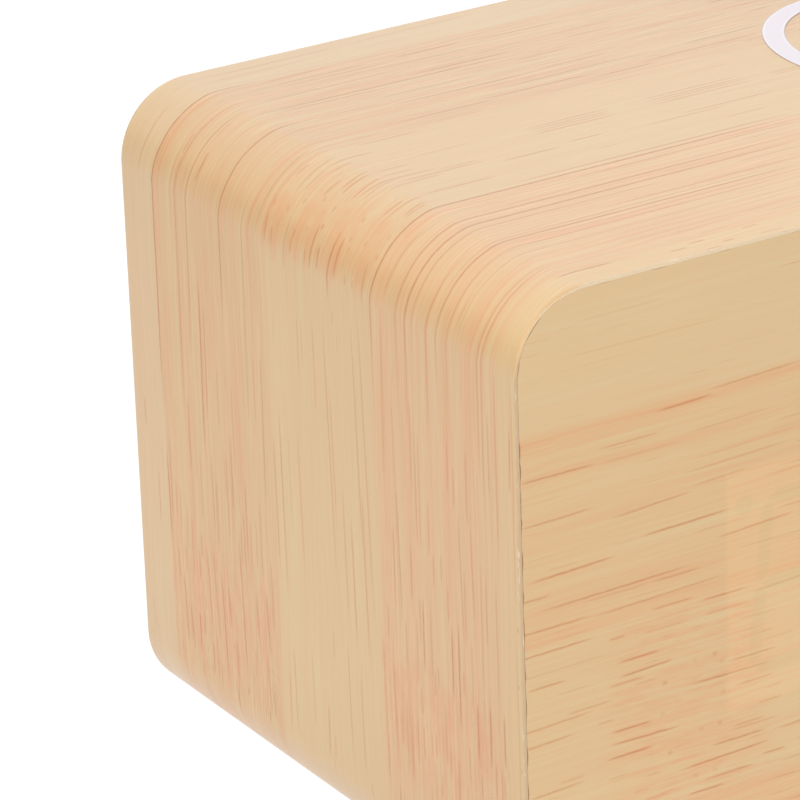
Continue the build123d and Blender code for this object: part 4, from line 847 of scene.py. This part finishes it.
def swell(poly, d):
    """The polygon grown outward by about d."""
    cx = sum(p[0] for p in poly) / len(poly)
    cz = sum(p[1] for p in poly) / len(poly)
    out = []
    n = len(poly)
    for i in range(n):
        a, b, c = Vector(poly[i - 1]), Vector(poly[i]), Vector(poly[(i + 1) % n])
        e1, e2 = (b - a).normalized(), (c - b).normalized()
        n1, n2 = Vector((e1.y, -e1.x)), Vector((e2.y, -e2.x))
        if n1.dot(b - Vector((cx, cz))) < 0:
            n1, n2 = -n1, -n2
        m = (n1 + n2).normalized()
        out.append(tuple(b + m * d / max(.5, m.dot(n1))))
    return out


def away(px, pz, poly):
    """Distance of many points from a convex polygon, 0 inside."""
    n = len(poly)
    best = np.full(len(px), 1e9)
    inside = np.ones(len(px), bool)
    turn = sum(poly[i][0] * poly[(i + 1) % n][1] - poly[(i + 1) % n][0] * poly[i][1] for i in range(n))
    for i in range(n):
        (ax, az), (bx, bz) = poly[i], poly[(i + 1) % n]
        dx, dz = bx - ax, bz - az
        t = np.clip(((px - ax) * dx + (pz - az) * dz) / (dx * dx + dz * dz), 0, 1)
        best = np.minimum(best, np.hypot(px - ax - t * dx, pz - az - t * dz))
        side = (dx * (pz - az) - dz * (px - ax)) * (1 if turn > 0 else -1)
        inside &= side >= -1e-9
    best[inside] = 0
    return best


def front_mesh():
    us = stations()[:-1]
    rng_gap = ripple(us + [BREAKS[-1]], 11, 1.1)[:-1]
    gate = ripple(us + [BREAKS[-1]], 12, 4.2)[:-1]
    gap = .035 + .09 * np.clip((rng_gap - .45) / .3, 0, 1) * np.clip((gate - .35) / .2, 0, 1)
    ua = np.array(us)
    seen = (ua > -60) & (ua < 30)
    known = .035 + bumps(us, [(-1.8, .6, .10), (-5.6, -4.3, .05), (-13.9, -12.6, .11), (-16.3, -14.7, .12), (-19.6, -17.7, .05),
                              (-21.3, -20.1, .10), (-25.5, -23.8, .09), (-29.0, -27.9, .11), (-33.0, -31.0, .07), (-37.2, -36.2, .10),
                              (-41.0, -39.0, .08), (-46.0, -44.6, .10), (-50.0, -48.6, .08), (-55.0, -53.0, .10), (8.0, 9.0, .04), (14.0, 15.4, .05), (22.0, 23.0, .04)])
    gap = np.where(seen, known + .02 * rng_gap, gap)
    gap = np.where((ua > 3.5) & (ua < 30), gap - .025, gap)
    rings = []
    for d, y in ((0.0, Y_FRONT + .248), (0.0, Y_FRONT + .03), (.03, Y_FRONT)):
        ring = []
        for i, u in enumerate(us):
            x, z, nx, nz = outline(u)
            s = .35 + gap[i] + d
            ring.append((x - nx * s, y, Z_MID + z - nz * s))
        rings.append(ring)
    n = len(us)
    verts = rings[0] + rings[1]
    faces = [[i, n + i, n + (i + 1) % n, (i + 1) % n] for i in range(n)]
    faces.append(list(range(n)))
    # front face: triangles that follow the display module's edge and the segments under the film
    pts = [(p[0], p[2]) for p in rings[2]]
    edges = [(i, (i + 1) % n) for i in range(n)]

    def loop(poly):
        start = len(pts)
        pts.extend(poly)
        edges.extend((start + i, start + (i + 1) % len(poly)) for i in range(len(poly)))

    z_disp, left, lean = 35.25, -75.0, math.tan(math.radians(6.1))
    for grow in (.35, -.35):
        hw, hh = 51.0 + grow, 12.75 + grow
        loop([(-hw, z_disp - hh), (hw, z_disp - hh), (hw, z_disp + hh), (-hw, z_disp + hh)])
    shapes = []
    for x_mid in (28.1, 43.0, 62.6, 77.5):
        shapes += bars(left + x_mid, z_disp, 9.6, 17.95, 1.2)
    for x_mid in (94.6, 103.3):
        shapes += bars(left + x_mid, z_disp - 4.2, 5.0, 9.4, .9)
    shapes += bars(left + 113.2, z_disp - 4.2, 5.0, 9.4, .9, "AEFD")
    shapes += [disc(left + 57.6 + s * 3.9 * lean, z_disp + s * 3.9, .8) for s in (-1, 1)]
    shapes += [disc(left + 26.1, Z_HIGH - 27.3, .9), disc(left + 111.6, z_disp + 1.9, .6)]
    for poly in shapes:
        loop(poly)
        loop(swell(poly, .35))
    out = delaunay_2d_cdt([Vector(p) for p in pts], edges, [], 1, 1e-5)
    co, tris = out[0], out[2]
    base = len(verts)
    px, pz = np.array([c.x for c in co]), np.array([c.y for c in co])
    verts = verts + [(c.x, Y_FRONT, c.y) for c in co]
    for t in tris:
        a, b, c = (co[i] for i in t)
        area = (b - a).cross(c - a)
        t = [base + i for i in t]
        faces.append(t if area > 0 else t[::-1])
    # bevel between the second ring and the front face's own outer ring
    where = {}
    for new, olds in enumerate(out[3]):
        for o in olds:
            where[o] = base + new
    for i in range(n):
        j = (i + 1) % n
        faces.append([n + i, where[i], where[j], n + j])
    module = np.zeros(len(verts), np.float32)
    outside = np.maximum(np.abs(px) - 51.0, np.abs(pz - z_disp) - 12.75)
    module[base:] = np.clip(.5 - outside / .7, 0, 1)
    segment = np.zeros(len(verts), np.float32)
    best = np.full(len(px), 1e9)
    for poly in shapes:
        best = np.minimum(best, away(px, pz, poly))
    segment[base:] = np.clip(1 - best / .35, 0, 1)
    uvs = [[(verts[i][0] + 75.0, Z_HIGH - verts[i][2]) for i in f] for f in faces]
    return verts, faces, uvs, module, segment


verts, faces, uvs, module, segment = front_mesh()
film = add_mesh("printed_front", verts, faces, uvs, front_material(), sharp=30.0)
for name, values in (("module", module), ("segment", segment)):
    a = film.data.attributes.new(name, "FLOAT", "POINT")
    a.data.foreach_set("value", values)
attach(film, "case")
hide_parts("front_film")

# ------------------------------------------------------------------------------------------------
# materials of the carried-over pieces


def plastic(name, rgb, rough=.5, grain=.35, relief=.006, speck=.10, dust=0.0, ior=1.46):
    """Moulded plastic: fine eroded texture, slightly uneven colour, and, if dust is given, scattered specks of dust."""
    net = material(name)
    p = net.mm()
    tiny = net.noise(net.vmath("MULTIPLY", p, (1 / grain,) * 3), detail=2.0, rough=.6)
    wide = net.noise(net.vmath("MULTIPLY", p, (1 / 11.0,) * 3), detail=3.0)
    flow = net.noise(net.vmath("MULTIPLY", p, (1 / 30.0, 1 / 30.0, 1 / 5.0)), detail=2.0)
    k = net.add(net.mad(wide, .8, -.4), net.add(net.mad(tiny, .5, -.25), net.mad(flow, .4, -.2)))
    col = net.mix(1.0, rgb, net.vmath("MULTIPLY_ADD", net.xyz(k, k, k), (speck * 2,) * 3, (1, 1, 1)), "MULTIPLY")
    if dust:
        spots = net.step(net.noise(net.vmath("MULTIPLY", p, (1 / .8,) * 3), detail=4.0, rough=.7), .60, .74)
        col = net.mix(net.mul(spots, dust), col, (.42, .40, .37))
    r = net.add(net.mad(tiny, .16, rough - .08), net.mad(wide, .12, -.06))
    return net.surface(col, r, net.bump(net.mul(tiny, relief)), IOR=ior)


def metal(name, rgb, rough=.3, scratch=(1 / .15, 1 / 6.0, 1 / .15), relief=.002, tint=(.92, .90, .84)):
    """Plated metal: drawn lines, cloudy plating and a few dull spots."""
    net = material(name)
    p = net.mm()
    lines = net.noise(net.vmath("MULTIPLY", p, scratch), detail=2.0, rough=.7)
    cloud = net.noise(net.vmath("MULTIPLY", p, (1 / 1.7,) * 3), detail=3.0, rough=.6)
    dull = net.step(net.noise(net.vmath("MULTIPLY", p, (1 / .6,) * 3), detail=3.0), .58, .70)
    col = net.mix(cloud, rgb, tuple(a * b for a, b in zip(rgb, tint)))
    col = net.mix(net.mul(dull, .35), col, tuple(c * .6 for c in rgb))
    r = net.add(net.mad(lines, .22, rough - .10), net.mul(dull, .15))
    return net.surface(col, r, net.bump(net.mul(lines, relief)), Metallic=1.0)


def fibreboard(name):
    """Raw fibreboard: matted brown fibres with a few paler shreds."""
    net = material(name)
    p = net.mm()
    fibre = net.noise(net.vmath("MULTIPLY", p, (1 / .35, 1 / .9, 1 / .25)), detail=4.0, rough=.7, dist=1.2)
    felt = net.noise(net.vmath("MULTIPLY", p, (1 / 1.4, 1 / 1.1, 1 / .7)), detail=3.0, rough=.6, dist=.6)
    shred = net.step(net.noise(net.vmath("MULTIPLY", p, (1 / .5, 1 / 3.0, 1 / .2)), detail=2.0), .60, .70)
    col, _ = net.ramp(net.add(net.mul(fibre, .6), net.mul(felt, .4)), [
        (.28, (.30, .19, .11)), (.45, (.50, .35, .22)), (.58, (.62, .46, .31)), (.75, (.74, .58, .41))])
    col = net.mix(net.mul(shred, .5), col, (.80, .66, .48))
    return net.surface(col, net.mad(fibre, .2, .72), net.bump(net.mul(fibre, .05)), IOR=1.42)


def pine(name):
    """Sawn pine: growth rings seen lengthways, fine pores and saw marks across."""
    net = material(name)
    p = net.mm()
    x, y, z = net.split(p)
    bend_ = net.noise(net.vmath("MULTIPLY", p, (1 / 6.0, 1 / 30.0, 1 / 6.0)), detail=2.0)
    ring = net.math("FRACT", net.add(net.add(net.mul(x, .45), net.mul(z, .22)), net.mul(bend_, 1.8)))
    late = net.mul(net.step(ring, .35, .92), net.step(ring, 1.0, .95))
    pores = net.noise(net.vmath("MULTIPLY", p, (1 / .22, 1 / 4.0, 1 / .22)), detail=2.0)
    saw = net.noise(net.vmath("MULTIPLY", p, (1 / 4.0, 1 / .45, 1 / 4.0)), detail=2.0)
    col = net.mix(late, (.80, .65, .44), (.62, .42, .22))
    col = net.mix(net.step(pores, .56, .72, 0.0, .45), col, (.50, .34, .18))
    return net.surface(col, net.mad(pores, .2, .58), net.bump(net.add(net.mul(saw, .05), net.mul(late, .02))), IOR=1.42)


def rubber(name):
    net = material(name)
    p = net.mm()
    tiny = net.noise(net.vmath("MULTIPLY", p, (1 / .18,) * 3), detail=3.0, rough=.7)
    wear = net.noise(net.vmath("MULTIPLY", p, (1 / 2.4,) * 3), detail=3.0)
    lint = net.step(net.noise(net.vmath("MULTIPLY", p, (1 / .25, 1 / 1.6, 1 / .25)), detail=2.0), .64, .72)
    col = net.mix(wear, (.050, .050, .052), (.085, .084, .082))
    col = net.mix(net.mul(lint, .30), col, (.32, .30, .28))
    return net.surface(col, net.mad(tiny, .18, .72), net.bump(net.mul(tiny, .02)), IOR=1.5)


def mark_print(name):
    """Screen print on the film: near white with a faint lilac cast, a painted highlight as a lighter band along its
    outlines and painted shade as a dark hairline on them, and the wood's fibres faintly raised through it."""
    net = material(name)
    p = net.mm()
    x, y, _ = net.split(p)
    yy = net.sub(y, 1.0)

    def oval(rx, ry):
        ax, ay = net.mul(x, 1 / rx), net.mul(yy, 1 / ry)
        r = net.vmath("LENGTH", net.xyz(ax, ay, 0.0))
        return net.mul(net.sub(r, 1.0), (rx + ry) / 2)

    edge = net.low(net.math("ABSOLUTE", oval(14.4, 16.6)), net.math("ABSOLUTE", oval(12.0, 14.2)))
    ink = net.noise(net.vmath("MULTIPLY", p, (1 / .16,) * 3), detail=3.0, rough=.7)
    fibre = net.noise(net.xyz(net.mul(x, 1 / 7), net.mul(y, 1 / .3), 2.0), detail=2.0)
    col = net.mix(ink, (.815, .748, .800), (.880, .815, .870))
    col = net.mix(net.step(fibre, .50, .80, 0.0, .18), col, (.78, .62, .58))
    # painted highlight: a lighter band along the outlines of the mark
    col = net.mix(net.step(edge, .34, .20, 0.0, .75), col, (.93, .89, .93))
    # painted shade: a dark hairline on the outlines themselves
    col = net.mix(net.step(edge, .13, .03, 0.0, .60), col, (.46, .36, .40))
    return net.surface(col, net.mad(ink, .12, .34), net.bump(net.add(net.mul(ink, .004), net.mul(fibre, .010))), IOR=1.5)


def board(name, mask, track, axes):
    """Circuit board: solder mask over copper tracks on a grid, tinned vias with their holes in painted shade, and a
    woven core.
    """
    net = material(name)
    parts = net.split(net.mm())
    a, b = parts[axes[0]], parts[axes[1]]
    pitch = 1.27

    def lines(p, q, seed):
        lane = net.math("FLOOR", net.mul(p, 1 / pitch))
        off = net.math("ABSOLUTE", net.sub(net.sub(net.mul(p, 1 / pitch), lane), .5))
        run = net.noise(net.xyz(net.mul(q, 1 / 8.0), net.mul(lane, 3.7), seed), detail=0.0)
        return net.mul(net.step(off, .20, .15), net.step(run, .49, .51))

    copper = net.top(lines(a, b, 1.0), lines(b, a, 7.0))
    pour = net.step(net.noise(net.xyz(net.mul(a, 1 / 13.0), net.mul(b, 1 / 13.0), 4.0), detail=0.0), .60, .605)
    copper = net.top(copper, pour)
    via = net.cells(net.xyz(net.mul(a, 1 / 3.81), net.mul(b, 1 / 3.81), 0.0), random=.55)
    pad = net.step(via, .17, .145)
    via_hole_shade = net.step(via, .08, .06)
    weave = net.math("SINE", net.mul(net.add(a, b), 9.0))
    weave2 = net.math("SINE", net.mul(net.sub(a, b), 9.0))
    cloth = net.mad(net.mul(weave, weave2), .5, .5)
    col = net.mix(cloth, mask, tuple(c * 1.12 for c in mask))
    col = net.mix(copper, col, track)
    col = net.mix(pad, col, (.72, .70, .62))
    # painted shade: the via holes are coloured near black instead of being cut
    col = net.mix(via_hole_shade, col, (.03, .03, .03))
    height = net.add(net.mul(copper, .035), net.add(net.mul(pad, .02), net.mul(cloth, .004)))
    return net.surface(col, net.mad(cloth, .06, .30), net.bump(height), IOR=1.52)


def chip(name):
    """Moulded epoxy body: near black with a fine grit and a few paler patches as a painted sheen."""
    net = material(name)
    p = net.mm()
    x, y, z = net.split(p)
    tiny = net.noise(net.vmath("MULTIPLY", p, (1 / .12,) * 3), detail=3.0, rough=.7)
    wide = net.noise(net.vmath("MULTIPLY", p, (1 / 2.0,) * 3), detail=2.0)
    col = net.mix(tiny, (.028, .028, .032), (.050, .050, .054))
    col = net.mix(net.step(wide, .45, .75, 0.0, .4), col, (.07, .07, .072))
    return net.surface(col, net.mad(tiny, .2, .48), net.bump(net.mul(tiny, .008)), IOR=1.5)


def ribbon(name):
    """Flat cable: sixteen grey wires side by side, the first one red, with painted shade in the grooves between them.
    """
    net = material(name)
    x, y, z = net.split(net.mm())
    lane = net.mul(net.add(x, 42.15), 1 / 1.27)
    cell = net.math("FLOOR", lane)
    off = net.math("ABSOLUTE", net.sub(net.sub(lane, cell), .5))
    groove = net.step(off, .34, .50)
    along = net.noise(net.xyz(net.mul(x, 1 / .4), net.mul(y, 1 / 6.0), 1.0), detail=2.0)
    col = net.mix(along, (.50, .51, .53), (.60, .61, .62))
    # painted shade: the grooves between the wires are coloured darker
    col = net.mix(groove, col, (.30, .31, .32))
    col = net.mix(net.step(lane, .98, .92), col, (.55, .07, .05))
    return net.surface(col, net.mad(along, .12, .38), net.bump(net.mul(groove, -.12)), IOR=1.5)


def cells_wrap(name):
    """Battery jacket: a dark green sleeve with a pale band at one end, and nickel ends."""
    net = material(name)
    x, y, z = net.split(net.mm())
    geo = net.node("NewGeometry")
    nx, _, _ = net.split(geo.outputs["True Normal"])
    end = net.step(net.math("ABSOLUTE", nx), .90, .97)
    soft = net.noise(net.xyz(net.mul(x, 1 / 7.0), net.mul(y, 1 / .5), net.mul(z, 1 / .5)), detail=2.0)
    crease = net.noise(net.xyz(net.mul(x, 1 / .6), net.mul(y, 1 / 4.0), net.mul(z, 1 / 4.0)), detail=2.0)
    near = net.step(net.math("ABSOLUTE", net.sub(x, 34.3)), 18.6, 19.0)
    col = net.mix(soft, (.10, .26, .17), (.17, .33, .24))
    col = net.mix(near, col, (.70, .66, .52))
    col = net.mix(end, col, (.70, .68, .64))
    n = net.node("BsdfPrincipled")
    net.put(n.inputs["Base Color"], col)
    net.put(n.inputs["Roughness"], net.mad(soft, .15, .22))
    net.put(n.inputs["Metallic"], end)
    net.put(n.inputs["Normal"], net.bump(net.mul(crease, .02)))
    out = net.node("OutputMaterial")
    net.tree.links.new(n.outputs[0], out.inputs[0])
    return net.mat


def lead(name, a, b):
    """Vinyl insulation: print-free, slightly wavy and glossy."""
    net = material(name)
    p = net.mm()
    wavy = net.noise(net.vmath("MULTIPLY", p, (1 / 1.1,) * 3), detail=2.0)
    tiny = net.noise(net.vmath("MULTIPLY", p, (1 / .15,) * 3), detail=2.0)
    col = net.mix(wavy, a, b)
    return net.surface(col, net.mad(tiny, .2, .30), net.bump(net.add(net.mul(wavy, .03), net.mul(tiny, .004))), IOR=1.52)


def winding(name):
    """Enamelled copper winding: turns of fine strands round the coil's middle, with painted shade in the gaps between
    the turns.
    """
    net = material(name)
    x, y, z = net.split(net.mm())
    r = net.vmath("LENGTH", net.xyz(x, net.sub(y, 1.0), 0.0))
    strand = net.math("FRACT", net.mul(r, 1 / .29))
    lay = net.math("ABSOLUTE", net.sub(strand, .5))
    tone_ = net.noise(net.xyz(net.mul(r, 1 / .29), net.mul(x, .08), net.mul(y, .08)), detail=1.0)
    col = net.mix(tone_, (.62, .27, .12), (.80, .42, .22))
    # painted shade: the gaps between the turns are coloured dark
    col = net.mix(net.step(lay, .36, .5, 0.0, .6), col, (.22, .09, .04))
    return net.surface(col, net.mad(tone_, .12, .28), net.bump(net.mul(lay, -.12)), Metallic=.85)


def ferrite(name):
    net = material(name)
    p = net.mm()
    grit = net.noise(net.vmath("MULTIPLY", p, (1 / .25,) * 3), detail=4.0, rough=.75)
    crack = net.cells(net.vmath("MULTIPLY", p, (1 / 5.0,) * 3), feature="DISTANCE_TO_EDGE")
    line = net.step(crack, .03, .01)
    col = net.mix(grit, (.075, .075, .083), (.14, .14, .148))
    # painted shade: the fine cracks along the cell edges are coloured near black
    col = net.mix(net.mul(line, .6), col, (.03, .03, .03))
    return net.surface(col, net.mad(grit, .2, .55), net.bump(net.add(net.mul(grit, .02), net.mul(line, -.02))), IOR=1.6)


def resin(name, a, b, rough, depth):
    """Milky casting resin: cloudy, a little deeper in places, with the mould's fine lines."""
    net = material(name)
    p = net.mm()
    cloud = net.noise(net.vmath("MULTIPLY", p, (1 / 1.5,) * 3), detail=3.0, rough=.6)
    tiny = net.noise(net.vmath("MULTIPLY", p, (1 / .2,) * 3), detail=2.0)
    col = net.mix(cloud, a, b)
    return net.surface(col, net.mad(tiny, .12, rough), net.bump(net.mul(tiny, depth)), IOR=1.5)


def led(name):
    """Small light chips: a pale body round a yellow lens."""
    net = material(name)
    p = net.mm()
    spot = net.cells(net.vmath("MULTIPLY", p, (1 / .9,) * 3), random=.3)
    dust = net.noise(net.vmath("MULTIPLY", p, (1 / .1,) * 3), detail=2.0)
    col = net.mix(net.step(spot, .30, .42), (.86, .72, .30), (.88, .87, .82))
    col = net.mix(net.mul(dust, .3), col, (.60, .58, .50))
    return net.surface(col, net.mad(dust, .15, .30), net.bump(net.mul(dust, .004)), IOR=1.5)


def ceramic(name):
    """Ceramic chip capacitors: speckled tan body with tinned ends."""
    net = material(name)
    x, y, z = net.split(net.mm())
    p = net.xyz(x, y, z)
    grit = net.noise(net.vmath("MULTIPLY", p, (1 / .15,) * 3), detail=3.0, rough=.7)
    end = net.step(net.math("ABSOLUTE", net.sub(x, 13.0)), 1.55, 1.62)
    col = net.mix(grit, (.54, .40, .25), (.68, .53, .35))
    col = net.mix(end, col, (.72, .71, .68))
    n = net.node("BsdfPrincipled")
    net.put(n.inputs["Base Color"], col)
    net.put(n.inputs["Roughness"], net.mad(grit, .25, .30))
    net.put(n.inputs["Metallic"], end)
    net.put(n.inputs["Normal"], net.bump(net.mul(grit, .01)))
    out = net.node("OutputMaterial")
    net.tree.links.new(n.outputs[0], out.inputs[0])
    return net.mat


def sleeve(name):
    """Electrolytic capacitor: dark blue shrink sleeve with a paler stripe down one side."""
    net = material(name)
    x, y, z = net.split(net.mm())
    dx_ = net.sub(x, -9.0)
    dz_ = net.sub(z, 19.0)
    side = net.math("ARCTAN2", dx_, dz_)
    stripe = net.step(net.math("ABSOLUTE", side), .42, .36)
    shrink = net.noise(net.xyz(net.mul(x, 1 / .6), net.mul(y, 1 / 3.0), net.mul(z, 1 / .6)), detail=2.0)
    col = net.mix(shrink, (.035, .05, .13), (.06, .085, .19))
    col = net.mix(net.mul(stripe, .8), col, (.50, .53, .60))
    return net.surface(col, net.mad(shrink, .12, .26), net.bump(net.mul(shrink, .02)), IOR=1.52)


finishes = {
    "fibreboard": fibreboard("raw_fibreboard"),
    "pine": pine("sawn_pine"),
    "mark_print": mark_print("mark_print"),
    "foot_rubber": rubber("foot_rubber"),
    "segment_resin": resin("segment_resin", (.40, .33, .28), (.52, .45, .39), .34, .004),
    "display_shell": plastic("display_shell", (.80, .75, .68), .30, .4, .003, .05),
    "led_die": led("led_chips"),
    "circuit_board": board("circuit_board", (.030, .165, .075), (.060, .270, .120), (0, 2)),
    "charger_board": board("charger_board", (.025, .070, .190), (.050, .120, .300), (0, 1)),
    "spacer_nylon": plastic("spacer_nylon", (.86, .85, .80), .38, .5, .004, .06),
    "zinc_screw": metal("zinc_screw", (.66, .66, .68), .30),
    "black_screw": metal("black_screw", (.075, .075, .080), .38, tint=(.9, .9, .95)),
    "chip_epoxy": chip("chip_epoxy"),
    "header_nylon": plastic("header_nylon", (.84, .81, .71), .40, .4, .004, .07),
    "ribbon_vinyl": ribbon("ribbon_vinyl"),
    "cover_plastic": plastic("cover_plastic", (.036, .036, .038), .50, .30, .022, .22, dust=.05),
    "button_plastic": plastic("button_plastic", (.050, .050, .054), .40, .45, .006, .15, dust=.03),
    "box_plastic": plastic("box_plastic", (.042, .042, .046), .46, .5, .006, .15, dust=.03),
    "switch_plastic": plastic("switch_plastic", (.042, .042, .044), .45, .3, .005, .15),
    "plunger_plastic": plastic("plunger_plastic", (.10, .085, .07), .40, .3, .004, .12),
    "shell_steel": metal("shell_steel", (.70, .70, .71), .26),
    "tongue_plastic": plastic("tongue_plastic", (.026, .026, .027), .42, .3, .004, .12),
    "mic_can": metal("mic_can", (.76, .76, .78), .28, scratch=(1 / .3, 1 / .3, 1 / .3)),
    "sensor_epoxy": resin("sensor_epoxy", (.040, .030, .025), (.070, .055, .045), .22, .010),
    "buzzer_plastic": plastic("buzzer_plastic", (.034, .034, .035), .42, .5, .008, .15),
    "crystal_can": metal("crystal_can", (.74, .74, .75), .24),
    "capacitor_sleeve": sleeve("capacitor_sleeve"),
    "capacitor_body": ceramic("capacitor_body"),
    "cell_jacket": cells_wrap("cell_jacket"),
    "contact_nickel": metal("contact_nickel", (.76, .74, .69), .26, tint=(.95, .92, .84)),
    "red_lead": lead("red_lead", (.50, .035, .028), (.66, .06, .05)),
    "black_lead": lead("black_lead", (.022, .022, .022), (.045, .045, .046)),
    "coil_copper": winding("coil_copper"),
    "ferrite": ferrite("ferrite"),
    "holder_plastic": plastic("holder_plastic", (.78, .77, .73), .42, .5, .006, .06),
}
for part in frame["record"]["subparts"]:
    ob = nodes[part["node"]]
    if part["material_slot"] in finishes:
        ob.data.materials.clear()
        ob.data.materials.append(finishes[part["material_slot"]])

# ------------------------------------------------------------------------------------------------
# camera, floor and light

cam_data = bpy.data.cameras.new("camera")
cam_data.sensor_width = 36.0
cam_data.sensor_fit = "HORIZONTAL"
cam_data.lens = 230.94
cam_data.clip_start, cam_data.clip_end = .01, 20.0
camera = bpy.data.objects.new("camera", cam_data)
bpy.context.scene.collection.objects.link(camera)
right = Vector((0.846256, -0.531748, -0.033094))
up = Vector((0.231407, 0.310903, 0.921841))
forward = Vector((0.479898, 0.787771, -0.386154))
rot = Matrix((right, up, -forward)).transposed()
camera.matrix_world = Matrix.Translation(Vector((-313.595, -408.633, 246.891)) * MM) @ rot.to_4x4()
bpy.context.scene.camera = camera

view = bpy.context.scene.view_settings
view.view_transform = "Standard"
view.look = "None"
view.exposure = 0.0
view.gamma = 1.0


def floor_material():
    net = material("floor")
    x, y, _ = net.split(net.mm())
    # a pale sweep, whitest behind the clock, that falls off in front of it and far to the left
    q = net.add(net.mul(x, -.892), net.mul(y, .451))
    glow = net.mul(net.step(q, 150.0, 420.0, 1.0, .48), net.step(y, -120.0, 25.0, .50, 1.0))
    dust = net.noise(net.xyz(net.mul(x, .05), net.mul(y, .05), 0.0), detail=3.0)
    diffuse = net.node("BsdfDiffuse")
    net.put(diffuse.inputs["Color"], net.mix(dust, (.14, .14, .14), (.17, .17, .17)))
    light = net.node("Emission")
    light.inputs["Color"].default_value = (1.0, 1.0, 1.0, 1.0)
    net.put(light.inputs["Strength"], net.mul(glow, FLOOR))
    both = net.node("AddShader")
    net.tree.links.new(diffuse.outputs[0], both.inputs[0])
    net.tree.links.new(light.outputs[0], both.inputs[1])
    out = net.node("OutputMaterial")
    net.tree.links.new(both.outputs[0], out.inputs[0])
    return net.mat


FLOOR = .98
me = bpy.data.meshes.new("floor")
rings = [0.0] + [0.05 * 1.45 ** k for k in range(14)]
fv, ff_ = [(0, 0, 0)], []
for r in rings[1:]:
    fv += [(r * math.cos(a * math.pi / 32), r * math.sin(a * math.pi / 32), 0) for a in range(64)]
for a in range(64):
    ff_.append([0, 1 + a, 1 + (a + 1) % 64])
for k in range(len(rings) - 2):
    for a in range(64):
        b = (a + 1) % 64
        ff_.append([1 + 64 * k + a, 1 + 64 * (k + 1) + a, 1 + 64 * (k + 1) + b, 1 + 64 * k + b])
me.from_pydata(fv, [], ff_)
me.materials.append(floor_material())
floor = bpy.data.objects.new("floor", me)
floor.location.z = -.0001             # just clear of the feet's soles
bpy.context.scene.collection.objects.link(floor)


def softbox(name, toward, distance, size, radiance, colour=(1, 1, 1)):
    """A square softbox that shines on the clock from that direction with that radiance."""
    d = Vector(toward).normalized()
    data = bpy.data.lights.new(name, "AREA")
    data.shape = "RECTANGLE"
    data.size, data.size_y = size
    data.color = colour
    data.energy = radiance * math.pi * size[0] * size[1]
    ob = bpy.data.objects.new(name, data)
    ob.location = d * distance + Vector((0, 0, .035))
    ob.rotation_mode = "QUATERNION"
    ob.rotation_quaternion = d.to_track_quat("Z", "Y")
    bpy.context.scene.collection.objects.link(ob)
    return ob


# the key light gives no mirror glare on the top when the clock is seen from behind
softbox("key", (-.42, -.755, .503), 1.1, (.75, .75), 5.0).visible_glossy = False
softbox("rim", (.48, -.386, .788), 1.2, (.3, .3), 2.5)

world = bpy.data.worlds.new("studio")
bpy.context.scene.world = world
world.use_nodes = True
net = Net(world, world.node_tree)
dirn = net.node("TexCoord").outputs["Generated"]
dx, dy, dz = net.split(net.vmath("NORMALIZE", dirn))
behind, _ = net.ramp(net.mad(dz, .5, .5), [
    (0.0, (.40,) * 3), (.48, (.35,) * 3), (.55, (.45,) * 3), (.61, (.80,) * 3), (.69, (1.15,) * 3), (.74, (1.35,) * 3),
    (.81, (1.6,) * 3), (.90, (1.1,) * 3), (1.0, (.45,) * 3)])
ahead, _ = net.ramp(net.mad(dz, .5, .5), [(0.0, (.3,) * 3), (.5, (.20,) * 3), (.8, (.12,) * 3), (1.0, (.45,) * 3)])
face = net.step(dy, -.15, .55)
sky = net.mix(face, ahead, behind)
# a bright panel low behind the clock to the right, which the top reflects
panel = net.vmath("DOT_PRODUCT", net.vmath("NORMALIZE", dirn), (.4795, .7879, .3862))
sky = net.mix(net.step(panel, .86, .97), sky, (1.6, 1.6, 1.6))
bg = net.node("Background")
net.put(bg.inputs["Color"], sky)
bg.inputs["Strength"].default_value = 1.0
wo = net.node("OutputWorld")
net.tree.links.new(bg.outputs[0], wo.inputs[0])
